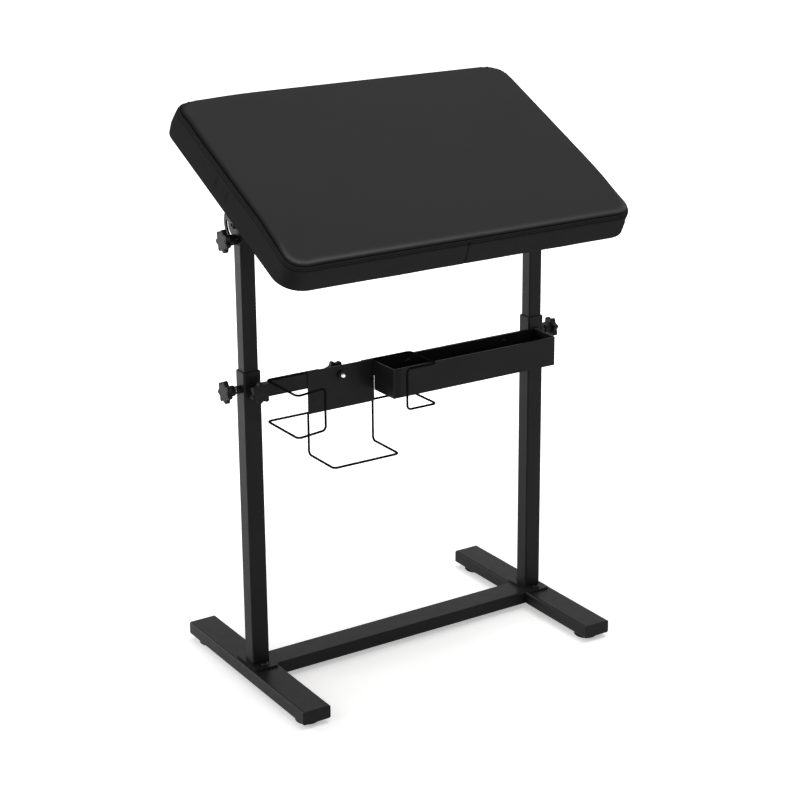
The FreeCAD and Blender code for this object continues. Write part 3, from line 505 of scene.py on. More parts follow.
BLANK_WRAP = 4 * MM
BLANK_SLACK = 1.6 * MM
BLANK_CORNER_STEPS = 10
BLANK_EDGE = 7 * MM
BLANK_EDGE_STEPS = 5
VOXEL = 6 * MM


def outline_distance(x, y):
    """How far a point of the level frame lies inside the cover's outline."""
    dx = abs(x) - CORE_X
    dy = abs(y - PAD_BACK) - CORE_Y
    outside = math.hypot(max(dx, 0), max(dy, 0))
    return PAD_CORNER - (outside + min(max(dx, dy), 0))


def on_top_rim(edge, level):
    """Whether an edge lies above a level and borders a face of the side."""
    above = all(vert.co.z > level for vert in edge.verts)
    beside = any(abs(face.normal.z) < BARELY_FACING for face in edge.link_faces)
    return above and beside and len(edge.link_faces) == 2


def cover_blank():
    """A slightly smaller block with round corners and a soft top edge, deep enough to wrap the board."""
    bottom = PAD_UNDER - BLANK_WRAP
    height = PAD_TOP - bottom - BLANK_SLACK
    bpy.ops.mesh.primitive_cube_add(size=1, location=(0, PAD_BACK, bottom + height / 2))
    cover = start("padded_cover")
    cover.scale = (PAD_WIDTH - 2 * BLANK_SLACK, PAD_DEPTH - 2 * BLANK_SLACK, height)
    settle(cover)
    choose(cover, "edges", lambda edge: abs((edge.verts[0].co - edge.verts[1].co).z) > height / 2)
    bpy.ops.mesh.bevel(offset=PAD_CORNER - BLANK_SLACK, segments=BLANK_CORNER_STEPS, affect="EDGES")
    near_top = bottom + height - SAME_LEVEL
    choose(cover, "edges", lambda edge: on_top_rim(edge, near_top))
    bpy.ops.mesh.bevel(offset=BLANK_EDGE, segments=BLANK_EDGE_STEPS, affect="EDGES")
    object_mode()
    return cover


# Padded top: the swelling. The underside is held, and a band at the seam nearly so, and no place
# moves further than its cap.

UNDERSIDE_BAND = 2 * MM
UNDERSIDE_HOLD = 1.0
SEAM_BAND = 3.2 * MM
SEAM_HOLD = 0.7
SWELL_STEPS = 20
TOP_CAP = 5 * MM
TOP_CAP_INSET = 8 * MM
SIDE_CAP = 0.6 * MM


def swell(cover):
    """Cloth under pressure, held along the underside and the seam."""
    apply_modifier(cover, "REMESH", mode="VOXEL", voxel_size=VOXEL)
    rest = [vert.co.copy() for vert in cover.data.vertices]
    held = cover.vertex_groups.new(name="held")
    for index, place in enumerate(rest):
        if place.z < PAD_UNDER + UNDERSIDE_BAND:
            held.add([index], UNDERSIDE_HOLD, "REPLACE")
        elif abs(place.z - SEAM_LEVEL) < SEAM_BAND:
            held.add([index], SEAM_HOLD, "REPLACE")
    only(cover)
    modifier = cover.modifiers.new("pressure", "CLOTH")
    cloth = modifier.settings
    cloth.quality = 6
    cloth.mass = 0.25
    cloth.tension_stiffness = 22
    cloth.compression_stiffness = 22
    cloth.shear_stiffness = 10
    cloth.bending_stiffness = 2
    cloth.use_pressure = True
    cloth.uniform_pressure_force = 4
    cloth.vertex_group_mass = "held"
    cloth.effector_weights.gravity = 0
    modifier.collision_settings.use_collision = False
    for step in range(SWELL_STEPS):
        bpy.context.scene.frame_set(step + 1)
    bpy.ops.object.modifier_apply(modifier=modifier.name)
    cover.vertex_groups.clear()
    for vert, before in zip(cover.data.vertices, rest):
        shift = vert.co - before
        inside = outline_distance(before.x, before.y)
        limit = TOP_CAP if before.z > SEAM_LEVEL and inside > TOP_CAP_INSET else SIDE_CAP
        if shift.length > limit:
            vert.co = before + shift * (limit / shift.length)


# Padded top: how the cover's corners hang, in millimetres. Each pull has its strength, its middle
# and spread along its side, and its reach inwards from it. The left side also leans in all along,
# the front left corner is pushed out, and the ends are tucked in below.

BACK_PULL = (6.0, 34, 62, 60)
RIGHT_PULL = (6.0, 40, 52, 60)
LEFT_PULL = (4.5, 16, 45, 70)
LEAN = 7.5
LEAN_REACH = 70
LEAN_FROM_BACK = 10
LEAN_BACK_RAMP = 55
LEAN_FROM_FRONT = 8
LEAN_FRONT_RAMP = 100
FULL_CORNER = 3.2
FULL_CORNER_INSET = 12
FULL_CORNER_SPREAD = 24
LOWEST_PUSH_SHARE = 0.2
LOWEST_PULL_SHARE = 0.45
TUCK = 1.2
CORNER_TUCK = 2.8
CORNER_TUCK_SPREAD = 50

# The cover stays outside the edge of the board, and less so above it
BOARD_INSET = 4.2 * MM
BOARD_EDGE = PAD_CORNER - BOARD_INSET
BOARD_INNER_BAND = PAD_CORNER - 14 * MM
BOARD_HEIGHT = 14 * MM
BOARD_EDGE_SLOPE = 0.2
BOARD_BELOW_SEAM = 9 * MM


def from_core(place):
    """The nearest place of the outline's inner rectangle, and the way outwards from it."""
    core = Vector((max(-CORE_X, min(CORE_X, place.x)),
                   PAD_BACK + max(-CORE_Y, min(CORE_Y, place.y - PAD_BACK)), place.z))
    return core, place - core


def pulled(pull, along, inwards):
    """How far a pull moves the cover, at a place along its side and inwards from it."""
    strength, middle, width, reach = pull
    return strength * hump(along, middle, width) * max(0.0, 1 - inwards / reach)


def slack_corner(place):
    """The cover is slack at the back left and front right corners, full at the front left one and
    drawn in under the ends of the board: how far it moves there."""
    left = (place.x - LEFT_SIDE) / MM
    right = (RIGHT_SIDE - place.x) / MM
    back = (BACK_SIDE - place.y) / MM
    front = (place.y - FRONT_SIDE) / MM
    height = max(0.0, (place.z - PAD_UNDER) / (PAD_TOP - PAD_UNDER))
    low = max(0.0, 1 - height)
    share = LOWEST_PULL_SHARE + (1 - LOWEST_PULL_SHARE) * height
    to_back = pulled(BACK_PULL, left, back) * share
    to_right = pulled(RIGHT_PULL, front, right) * share
    leaning = LEAN * ramp(back, LEAN_FROM_BACK, LEAN_BACK_RAMP)
    leaning *= ramp(front, LEAN_FROM_FRONT, LEAN_FRONT_RAMP)
    from_left = (pulled(LEFT_PULL, back, left) + leaning * max(0.0, 1 - left / LEAN_REACH)) * height
    to_full_corner = math.hypot(left - FULL_CORNER_INSET, front - FULL_CORNER_INSET)
    push = FULL_CORNER * hump(to_full_corner, 0, FULL_CORNER_SPREAD)
    push *= min(1.0, LOWEST_PUSH_SHARE + height)
    way = from_core(place)[1].normalized()
    to_corner = math.hypot(min(left, right), min(back, front))
    tuck = (TUCK + CORNER_TUCK * hump(to_corner, 0, CORNER_TUCK_SPREAD)) * low * abs(way.x)
    return Vector((from_left - to_right - push - tuck * way.x, -to_back - push - tuck * way.y, 0)) * MM


def over_board(place):
    """Keeps a place of the cover's side out beyond the edge of the board, and less so above it."""
    if place.z > SEAM_LEVEL - BOARD_BELOW_SEAM:
        return place
    core, way = from_core(place)
    least = BOARD_EDGE - BOARD_EDGE_SLOPE * max(0.0, place.z - PAD_UNDER - BOARD_HEIGHT)
    if BOARD_INNER_BAND < way.length < least:
        return core + way * (least / way.length)
    return place


# Padded top: seams and creases. A groove is (strength, level over the seam, width) in millimetres,
# and its painted shade (darkness, level, width). A crease is (first, last, depth) with each end as
# (along the side, height) in millimetres.

SEAM_GROOVES = ((2.1, 1.0, 1.7), (0.7, -2.6, 3.0), (0.8, -5.3, 0.6))
# Painted shade in and beside the seam's grooves
SEAM_SHADES = ((1.0, 1.0, 1.7), (0.5, -2.0, 3.2), (0.8, -5.3, 0.5))
SEAM_CUTS = (-7.0, -5.9, -5.3, -4.7, -3.7, -2.3, -0.9, 0.1, 1.0, 1.9, 2.9, 4.2)
BOXING_SEAM_X = -8 * MM
BOXING_SEAM_DEPTH = 1.1 * MM
BOXING_SEAM_LEAN = 2.4 * MM
BOXING_SEAM_WIDTH = 0.8
BOXING_CUTS = (-2.0, -0.7, 0.7, 2.0)
CUT_REACH = 12 * MM
SIDE_BAND = 9 * MM
LEFT_CREASES = (((30, 68), (27, 45), 1.0), ((-3, 66), (-6, 47), 0.9), ((68, 63), (66, 54), 0.35),
                ((10, 63), (8, 54), 0.35), ((-22, 70), (-25, 62), 0.4))
LEFT_CREASE_WIDTH = 3.0
# Painted shade in the left side's creases and over the whole left side
LEFT_CREASE_SHADE = 0.3
LEFT_SIDE_SHADE = 0.2
FRONT_CREASES = (((-22, 68), (-2, 52), 0.6), ((18, 69), (34, 50), 0.9), ((30, 68), (49, 55), 0.7),
                 ((-60, 69), (-78, 56), 0.4))
FRONT_CREASE_WIDTH = 3.2
CREASE_END_SHARE = 0.08

# Padded top: the hollow for the board, the rolled edge and the side between the seams
HOLLOW_INSET = 14 * MM
HOLLOW_BELOW = PAD_UNDER + 12 * MM
HOLLOW_LEVEL = PAD_UNDER + 6 * MM
LOWEST_LEVEL = PAD_UNDER - 0.9 * MM
EDGE_NEAR = 20 * MM
EDGE_FADE = 40 * MM
ROLL_INSET = 9
ROLL_WIDTH = 5
ROLL_DROP = 1.1 * MM
ROLL_DROP_WIDTH = 18 * MM
ROLL_DROP_RISE = 3
# Painted shade on the top beside the left seam: its width, its widening towards the back, and its fall
SHADE_WIDTH = 12 * MM
SHADE_WIDTH_SLOPE = 0.014
SHADE_FALL = 1.4
SIDE_BELOW_SEAM = 2 * MM
SIDE_HEIGHT = 40.7 * MM
WAIST = 0.9 * MM
WAVE_HEIGHT = 0.35 * MM
WAVE_SCALES = (26, 26, 40)
# Painted shade where the side turns the front left corner
CORNER_SHADE = 0.45
CORNER_SHADE_DISTANCE = 16
CORNER_SHADE_WIDTH = 13


def crease(place, first, last, depth, width):
    """How far a crease between two points of a side draws the cover in at a place."""
    along = last - first
    share = clamped((place - first).dot(along) / along.length_squared)
    away = (place - first - along * share).length
    fade = math.sin(math.pi * (CREASE_END_SHARE + (1 - 2 * CREASE_END_SHARE) * share))
    return depth * fade * hump(away, 0, width)


def creases(here, lines, width):
    """How far all the creases of a side draw it in at a place, in millimetres."""
    return sum(crease(here, Vector(first), Vector(last), depth, width) for first, last, depth in lines)


def seam_relief(level):
    """How far the seam draws the cover in at a level over it in millimetres, and its painted shade."""
    pull = sum(depth * hump(level, middle, width) for depth, middle, width in SEAM_GROOVES)
    painted_shade = max(shade * hump(level, middle, width) for shade, middle, width in SEAM_SHADES)
    return pull * MM, painted_shade


def near_edge(distance):
    """One near an edge of the top, nought away from it."""
    return 1 - ramp(distance, EDGE_NEAR, EDGE_FADE)


def top_edge(place, inside):
    """The painted shade on the top beside the left seam, and how much its front edge gleams."""
    from_front = place.y - FRONT_SIDE
    near_front = near_edge(from_front)
    near_left = near_edge(place.x - LEFT_SIDE)
    width = SHADE_WIDTH + SHADE_WIDTH_SLOPE * from_front
    shade = near_left * (1 - near_front) * (1 - clamped(inside / width) ** SHADE_FALL)
    return shade, hump(inside / MM, ROLL_INSET, ROLL_WIDTH) * near_front


def boxing_line(place, normal, waist):
    """One on the seam that closes the boxing strip at the front and the back, which leans a little."""
    lean = BOXING_SEAM_LEAN * (0.5 - waist) * -math.copysign(1, normal.y)
    return hump((place.x - BOXING_SEAM_X - lean) / MM, 0, BOXING_SEAM_WIDTH)


def side_relief(place, normal):
    """How far the side is drawn in by its waist, waves, creases and boxing seams, its least painted
    shade, and how much painted shade its creases add."""
    waist = (place.z - PAD_UNDER) / SIDE_HEIGHT
    pull = WAIST * math.sin(math.pi * clamped(waist)) + WAVE_HEIGHT * ripple(place, WAVE_SCALES)
    least = 0.0
    added = 0.0
    if place.x < LEFT_SIDE + SIDE_BAND:
        drawn = creases(Vector((place.y, place.z)) / MM, LEFT_CREASES, LEFT_CREASE_WIDTH)
        pull += drawn * MM
        least = LEFT_SIDE_SHADE
        added = LEFT_CREASE_SHADE * drawn
    if place.y < FRONT_SIDE + SIDE_BAND:
        pull += creases(Vector((place.x, place.z)) / MM, FRONT_CREASES, FRONT_CREASE_WIDTH) * MM
    if abs(normal.y) > MOSTLY_FACING:
        line = boxing_line(place, normal, waist)
        pull += BOXING_SEAM_DEPTH * line
        # The boxing seam's line is painted shade too
        least = max(least, line)
    return pull, least, added


def dress_cover(cover):
    """Adds the sewn seam under the rolled edge, the boxing seams and the creases, and hollows the
    underside for the board."""
    apply_modifier(cover, "SUBSURF", levels=1, render_levels=1)
    for offset in SEAM_CUTS:
        choose(cover, "verts", lambda vert: abs(vert.co.z - SEAM_LEVEL) < CUT_REACH)
        bpy.ops.mesh.bisect(plane_co=(0, 0, SEAM_LEVEL + offset * MM), plane_no=UP)
    for offset in BOXING_CUTS:
        choose(cover, "verts", lambda vert: abs(vert.co.x - BOXING_SEAM_X) < CUT_REACH
               and abs(vert.co.y - PAD_BACK) > PAD_DEPTH / 2 - SIDE_BAND)
        bpy.ops.mesh.bisect(plane_co=(BOXING_SEAM_X + offset * MM, 0, 0), plane_no=RIGHT)
    object_mode()
    cover.data.update()
    surface = [(vert.co.copy(), vert.normal.copy()) for vert in cover.data.vertices]
    # This attribute holds painted shade for the seams, creases, left side, front left corner and the top
    # beside the left seam
    painted_shades = cover.data.attributes.new("painted_shade", "FLOAT", "POINT")
    rolls = cover.data.attributes.new("roll", "FLOAT", "POINT")
    for vert, (place, normal) in zip(cover.data.vertices, surface):
        inside = outline_distance(place.x, place.y)
        if inside > HOLLOW_INSET and place.z < HOLLOW_BELOW:
            vert.co.z = HOLLOW_LEVEL
            continue
        place.z = max(place.z, LOWEST_LEVEL)
        level = (place.z - SEAM_LEVEL) / MM
        pull, painted_shade = seam_relief(level) if inside < SIDE_BAND else (0.0, 0.0)
        if level > 0:
            shade, roll = top_edge(place, inside)
            rolls.data[vert.index].value = roll
            # Painted shade beside the left seam
            painted_shade = max(painted_shade, shade)
            edge = max(0.0, 1 - inside / ROLL_DROP_WIDTH) ** 2
            place.z -= ROLL_DROP * edge * min(1.0, level / ROLL_DROP_RISE)
        if place.z < SEAM_LEVEL - SIDE_BELOW_SEAM:
            drawn, least, added = side_relief(place, normal)
            to_corner = math.hypot(place.x - LEFT_SIDE, place.y - FRONT_SIDE) / MM
            pull += drawn
            painted_shade = max(painted_shade, least) + added
            # Painted shade at the front left corner of the side
            painted_shade = max(painted_shade, CORNER_SHADE * hump(to_corner, CORNER_SHADE_DISTANCE, CORNER_SHADE_WIDTH))
        vert.co = over_board(place - normal * pull + slack_corner(place))
        painted_shades.data[vert.index].value = painted_shade


# Padded top: stitches

STITCH_ROWS = (("above_fold", -1.3 * MM), ("below_fold", -3.7 * MM))
STITCH_COUNT = 400
STITCH_LENGTH = 3.6 * MM
STITCH_THICKNESS = 0.9 * MM
STITCH_FLATNESS_SHARE = 0.8
STITCH_LIFT = 0.1 * MM
STITCH_SIDES = 8
STITCH_RINGS = 6
RAY_START = 20 * MM


def outline_place(length):
    """The core's place and the way outwards at a length along the cover's outline."""
    sides = ((2 * CORE_Y, RIGHT), (2 * CORE_X, BACK), (2 * CORE_Y, LEFT), (2 * CORE_X, FRONT))
    for side, normal in sides:
        along = Vector((-normal.y, normal.x, 0))
        corner = Vector((CORE_X * (normal.x + along.x), CORE_Y * (normal.y + along.y), 0))
        if length < side:
            return corner - along * (side - length), normal
        length -= side
        if length < QUARTER_ARC:
            angle = length / PAD_CORNER
            return corner, normal * math.cos(angle) + along * math.sin(angle)
        length -= QUARTER_ARC


def around(piece, level):
    """Places for stitches around the cover at a level, each with its surface's direction."""
    points = []
    for index in range(STITCH_COUNT):
        core, way = outline_place(OUTLINE_LENGTH * index / STITCH_COUNT)
        origin = core + way * (PAD_CORNER + RAY_START) + Vector((0, PAD_BACK, level))
        _, spot, normal, _ = piece.ray_cast(origin, -way)
        points.append((spot + normal * STITCH_LIFT, normal.copy()))
    return points


def stitch():
    """One sewn stitch along X: a short round thread whose ends dip into the cover."""
    bpy.ops.mesh.primitive_uv_sphere_add(segments=STITCH_SIDES, ring_count=STITCH_RINGS, radius=0.5)
    piece = start("stitch")
    piece.rotation_euler = (0, math.pi / 2, 0)
    settle(piece)
    piece.scale = (STITCH_LENGTH, STITCH_THICKNESS, STITCH_THICKNESS * STITCH_FLATNESS_SHARE)
    settle(piece)
    return piece


def row_of_stitches(name, points):
    """Sets a stitch at every point, along the row and on the surface."""
    pattern = stitch()
    corners = [vert.co.copy() for vert in pattern.data.vertices]
    rings = [tuple(face.vertices) for face in pattern.data.polygons]
    verts = []
    faces = []
    for index, (place, normal) in enumerate(points):
        ahead = points[(index + 1) % len(points)][0]
        behind = points[index - 1][0]
        along = (ahead - behind).normalized()
        across = normal.cross(along).normalized()
        up = along.cross(across).normalized()
        turn = Matrix((along, across, up)).transposed().to_4x4()
        matrix = Matrix.Translation(place) @ turn
        first = len(verts)
        verts += [matrix @ corner for corner in corners]
        faces += [[first + corner for corner in ring] for ring in rings]
    mesh = bpy.data.meshes.new(name)
    mesh.from_pydata(verts, [], faces)
    row = linked(name, mesh)
    bpy.data.objects.remove(pattern)
    smooth(row, angle=80)
    return row


def padded_top():
    cover = cover_blank()
    swell(cover)
    dress_cover(cover)
    smooth(cover, angle=60)
    bpy.context.view_layer.update()
    rows = [row_of_stitches("stitches_" + name, around(cover, SEAM_LEVEL + offset))
            for name, offset in STITCH_ROWS]
    row = joined("cover_stitches", rows)
    for piece, material in ((cover, LEATHER), (row, THREAD)):
        piece.data.transform(TILT)
        piece.data.update()
        hand_over(piece, material, "cover_leather", "pad")
    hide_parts("pad_cushion")


# Underside of the padded top: the hem follows the outline between its two insets

HEM_OUTER_INSET = BOARD_INSET
HEM_INNER_INSET = 27 * MM
HEM_LEVEL = PAD_UNDER - 0.2 * MM
HEM_THICKNESS = 0.9 * MM
HEM_CORNER_STEPS = 8
HEM_LONG_EDGE = 60 * MM
HEM_CUTS = 24
HEM_WAVE_INSET = 20 * MM
HEM_WAVE = 1.6 * MM
HEM_WAVE_SCALE = 45
HEM_WAVE_SLICE = 3
STAPLE_SIZE = Vector((10, 1.1, 0.5)) * MM
STAPLE_EDGE = 0.18 * MM
STAPLE_EDGE_STEPS = 2
STAPLE_INSET = 17 * MM
STAPLE_LEVEL = PAD_UNDER - 1.1 * MM
STAPLE_FROM_END = 28 * MM
STAPLES_ALONG = 14
STAPLES_ACROSS = 9
STAPLE_JITTER = 0.25
STAPLE_JITTER_SCALE = 31


def hem_ring():
    """A flat ring that follows the pad's outline between the hem's two insets."""
    bpy.ops.mesh.primitive_plane_add(size=1, location=(0, PAD_BACK, HEM_LEVEL))
    ring = start("cover_hem")
    ring.scale = (PAD_WIDTH - 2 * HEM_OUTER_INSET, PAD_DEPTH - 2 * HEM_OUTER_INSET, 1)
    settle(ring)
    choose(ring, "verts", lambda vert: True)
    bpy.ops.mesh.bevel(offset=PAD_CORNER - HEM_OUTER_INSET, segments=HEM_CORNER_STEPS, affect="VERTICES")
    choose(ring, "faces", lambda face: True)
    bpy.ops.mesh.inset(thickness=HEM_INNER_INSET - HEM_OUTER_INSET)
    choose(ring, "faces", lambda face: len(face.verts) > 4)
    bpy.ops.mesh.delete(type="FACE")
    object_mode()
    apply_modifier(ring, "SOLIDIFY", thickness=HEM_THICKNESS, offset=-1)
    return ring


def wavy_hem():
    """The cover's edge turned under the board, with an uneven cut and the cover's own outline."""
    hem = hem_ring()
    choose(hem, "edges", lambda edge: edge.calc_length() > HEM_LONG_EDGE)
    bpy.ops.mesh.subdivide(number_cuts=HEM_CUTS)
    object_mode()
    for vert in hem.data.vertices:
        if outline_distance(vert.co.x, vert.co.y) > HEM_WAVE_INSET:
            wave = ripple((vert.co.x, vert.co.y, HEM_WAVE_SLICE), (HEM_WAVE_SCALE, HEM_WAVE_SCALE, 1))
            away = Vector((vert.co.x, vert.co.y - PAD_BACK, 0)).normalized()
            vert.co -= away * (HEM_WAVE * wave)
        else:
            vert.co = over_board(vert.co + slack_corner(vert.co))
    return hem


def staple_places():
    """Places and turns of the staples around the hem."""
    reach_x = PAD_WIDTH / 2 - STAPLE_INSET
    reach_y = PAD_DEPTH / 2 - STAPLE_INSET
    end_x = reach_x - STAPLE_FROM_END
    end_y = reach_y - STAPLE_FROM_END
    places = []
    for sign in (-1, 1):
        y = PAD_BACK + sign * reach_y
        places += [(Vector((x, y, 0)), 0.0) for x in spread(-end_x, end_x, STAPLES_ALONG)]
        x = sign * reach_x
        places += [(Vector((x, y, 0)), math.pi / 2)
                   for y in spread(PAD_BACK - end_y, PAD_BACK + end_y, STAPLES_ACROSS)]
    return places


def staple_row():
    bpy.ops.mesh.primitive_cube_add(size=1)
    wire = start("staple")
    wire.scale = STAPLE_SIZE
    settle(wire)
    apply_modifier(wire, "BEVEL", width=STAPLE_EDGE, segments=STAPLE_EDGE_STEPS)
    staples = []
    for place, turn in staple_places():
        jitter = noise.noise(place * STAPLE_JITTER_SCALE) * STAPLE_JITTER
        lowered = Matrix.Translation(place + UP * STAPLE_LEVEL)
        staples.append(copied(wire, lowered @ Matrix.Rotation(turn + jitter, 4, "Z")))
    bpy.data.objects.remove(wire)
    return joined("hem_staples", staples)


def pad_underside():
    """The cover's edge turned under the board, and the staples that hold it."""
    hem = wavy_hem()
    row = staple_row()
    for piece, material, slot in ((hem, LEATHER, "cover_leather"), (row, ZINC, "bright_steel")):
        piece.data.transform(TILT)
        smooth(piece)
        hand_over(piece, material, slot, "pad")


# Star knobs: the insets are (inwards, upwards) in millimetres, and the rises between the two rims
# are in millimetres too

KNOB_LOBES = 7
KNOB_CORNERS_PER_LOBE = 3
KNOB_RADIUS = 17.5 * MM
KNOB_HOLLOW_SHARE = 0.654
KNOB_RIM_LIFT = 0.8 * MM
KNOB_LOWER_INSET = (1.3, -0.7)
KNOB_LOWER_LIP = (1.0, 0)
KNOB_RISES = (1.2, 4.8, 1.2)
KNOB_UPPER_INSETS = ((1.0, 0.8), (1.2, 0), (0.4, -0.4), (0.5, 0))
HUB_LENGTH = 10 * MM
HUB_OVERLAP = 1.5 * MM
HUB_END_RADIUS = 7.75 * MM
HUB_ROOT_RADIUS = 8.5 * MM
HUB_EDGE = 0.8 * MM
HUB_EDGE_STEPS = 3
HUB_SIDES = 48
KNOB_SMOOTHING = 3


def inset(inwards, upwards):
    """Insets the chosen faces by sizes in millimetres."""
    bpy.ops.mesh.inset(thickness=inwards * MM, depth=upwards * MM)


def star():
    """The seven-lobed head of a knob about +Z, with a dished face."""
    corners = KNOB_LOBES * KNOB_CORNERS_PER_LOBE
    hollow = KNOB_CORNERS_PER_LOBE - 1
    bpy.ops.mesh.primitive_circle_add(vertices=corners, radius=KNOB_RADIUS, fill_type="NGON",
                                      location=(0, 0, HUB_LENGTH + KNOB_RIM_LIFT))
    knob = start("star_knob")
    settle(knob)
    choose(knob, "verts", lambda vert: vert.index % KNOB_CORNERS_PER_LOBE == hollow)
    bpy.ops.transform.resize(value=(KNOB_HOLLOW_SHARE, KNOB_HOLLOW_SHARE, 1))
    choose(knob, "faces", lambda face: True)
    inset(*KNOB_LOWER_INSET)
    choose(knob, "faces", lambda face: len(face.verts) > 4)
    inset(*KNOB_LOWER_LIP)
    choose(knob, "edges", lambda edge: edge.is_boundary)
    for rise in KNOB_RISES:
        bpy.ops.mesh.extrude_region_move(TRANSFORM_OT_translate={"value": (0, 0, rise * MM)})
    bpy.ops.mesh.edge_face_add()
    for sizes in KNOB_UPPER_INSETS:
        inset(*sizes)
    object_mode()
    outward(knob)
    apply_modifier(knob, "SUBSURF", levels=KNOB_SMOOTHING, render_levels=KNOB_SMOOTHING)
    return knob


def hub():
    """The slightly conical neck of a knob, its end on Z = 0."""
    length = HUB_LENGTH + HUB_OVERLAP
    bpy.ops.mesh.primitive_cone_add(vertices=HUB_SIDES, radius1=HUB_END_RADIUS, radius2=HUB_ROOT_RADIUS,
                                    depth=length, location=(0, 0, length / 2))
    neck = start("knob_hub")
    settle(neck)
    choose(neck, "faces", lambda face: face.normal.z < -FACING)
    bpy.ops.mesh.bevel(offset=HUB_EDGE, segments=HUB_EDGE_STEPS, affect="EDGES")
    object_mode()
    return neck


def star_knob():
    knob = joined("star_knob", [star(), hub()])
    smooth(knob, angle=40)
    return knob


# Studs: where on each pitch the crest starts and ends and the root is reached again

THREAD_PITCH = 1.0 * MM
THREAD_ROOT = 2.58 * MM
CREST_START_SHARE = 0.36
CREST_END_SHARE = 0.5
ROOT_SHARE = 0.86
STUD_CHAMFER = 0.6 * MM
STUD_TIP_SHARE = 0.86
STUD_SIDES = 20


def threaded_stud(length):
    """A stud along +Z from the origin, turned from a profile with a crest on every pitch."""
    profile = [(0, 0), (THREAD_ROOT, 0)]
    for turn in range(int(length / THREAD_PITCH) - 1):
        level = (turn + 0.5) * THREAD_PITCH
        profile += [(M6_RADIUS, level + CREST_START_SHARE * THREAD_PITCH),
                    (M6_RADIUS, level + CREST_END_SHARE * THREAD_PITCH),
                    (THREAD_ROOT, level + ROOT_SHARE * THREAD_PITCH)]
    profile += [(THREAD_ROOT, length - STUD_CHAMFER), (STUD_TIP_SHARE * THREAD_ROOT, length), (0, length)]
    mesh = bpy.data.meshes.new("stud")
    corners = [(x, 0, z) for x, z in profile]
    mesh.from_pydata(corners, [(index, index + 1) for index in range(len(corners) - 1)], [])
    stud = linked("stud", mesh)
    apply_modifier(stud, "SCREW", steps=STUD_SIDES, render_steps=STUD_SIDES, use_merge_vertices=True,
                   merge_threshold=SAME_TURNED_CORNER)
    outward(stud)
    smooth(stud, angle=30)
    return stud


def knobs_and_studs():
    """Sets a knob and a stud at each place that the frame has for them."""
    knob = star_knob()
    sets = (("left_height", LEFT), ("right_height", RIGHT), ("left_tilt", LEFT), ("right_tilt", RIGHT),
            ("bar", FRONT), ("plate", BACK))
    for name, direction in sets:
        low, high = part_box(name + "_stud")
        middle = (low + high) / 2
        length = abs((high - low).dot(direction))
        hub_reach = min(corner.dot(direction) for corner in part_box(name + "_knob"))
        hub_end = middle + direction * (hub_reach - middle.dot(direction))
        shown = copied(knob, facing(direction, hub_end))
        shown.name = name + "_star_knob"
        hand_over(shown, KNOB, "knob_plastic", name + "_knob_set", name + "_knob")
        stud = threaded_stud(length)
        stud.data.transform(facing(-direction, middle + direction * length / 2))
        stud.name = name + "_threaded_stud"
        hand_over(stud, ZINC, "bright_steel", name + "_knob_set", name + "_stud")
    bpy.data.objects.remove(knob)


# Bolts and screws: the dome's steps are shares of the radius inwards and of the height upwards

HEAD_SIDES = 36
SHANK_SIDES = 24
HEAD_EDGE_SHARE = 0.45
DOME_SHARES = ((0.12, 0.28), (0.14, 0.17), (0.16, 0.10))
RECESS_EDGE_SHARE = 0.14
RECESS_DEPTH_SHARE = 0.5
FOOT_BOLT_RADIUS = 5.75 * MM
FOOT_BOLT_HEIGHT = 4 * MM
FOOT_BOLT_LENGTH = 14 * MM
TRAY_SCREW_RADIUS = 4.75 * MM
TRAY_SCREW_HEIGHT = 2.5 * MM
TRAY_SCREW_LENGTH = 8 * MM
BAR_SCREW_RADIUS = 5.25 * MM
BAR_SCREW_HEIGHT = 3.5 * MM
BAR_SCREW_LENGTH = 5 * MM
PIVOT_BOLT_RADIUS = 6 * MM
PIVOT_BOLT_HEIGHT = 3.5 * MM
PIVOT_BOLT_LENGTH = 34.8 * MM


def domed_bolt(radius, height, shank_radius, shank):
    """A domed head with a round recess, its face up and its seat on Z = 0, on a plain shank."""
    edge = height * HEAD_EDGE_SHARE
    bpy.ops.mesh.primitive_cylinder_add(vertices=HEAD_SIDES, radius=radius, depth=edge,
                                        location=(0, 0, edge / 2))
    head = start("domed_bolt")
    settle(head)
    choose(head, "faces", lambda face: face.normal.z > FACING)
    for inwards, upwards in DOME_SHARES:
        bpy.ops.mesh.inset(thickness=radius * inwards, depth=height * upwards)
    bpy.ops.mesh.inset(thickness=radius * RECESS_EDGE_SHARE, depth=0)
    recess = height * RECESS_DEPTH_SHARE
    bpy.ops.mesh.extrude_region_move(TRANSFORM_OT_translate={"value": (0, 0, -recess)})
    object_mode()
    bpy.ops.mesh.primitive_cylinder_add(vertices=SHANK_SIDES, radius=shank_radius, depth=shank,
                                        location=(0, 0, -shank / 2))
    body = start("shank")
    settle(body)
    bolt = joined("domed_bolt", [head, body])
    smooth(bolt, angle=28)
    return bolt


def set_of_bolts(name, node, body, bolt, seats):
    """Sets a bolt on every seat, a (direction, place), as one piece in place of a CAD node."""
    row = joined(name, [copied(bolt, facing(direction, place)) for direction, place in seats])
    hand_over(row, BLACK_STEEL, "black_hardware", body, node)
    bpy.data.objects.remove(bolt)


def foot_bolts():
    low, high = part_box("foot_plate_bolts")
    plate_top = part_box("left_foot_plate")[1].z
    seats = [(UP, Vector((x, y, plate_top)))
             for x in (low.x + FOOT_BOLT_RADIUS, high.x - FOOT_BOLT_RADIUS)
             for y in (low.y + FOOT_BOLT_RADIUS, high.y - FOOT_BOLT_RADIUS)]
    bolt = domed_bolt(FOOT_BOLT_RADIUS, FOOT_BOLT_HEIGHT, M6_RADIUS, FOOT_BOLT_LENGTH)
    set_of_bolts("foot_bolt_heads", "foot_plate_bolts", "base", bolt, seats)


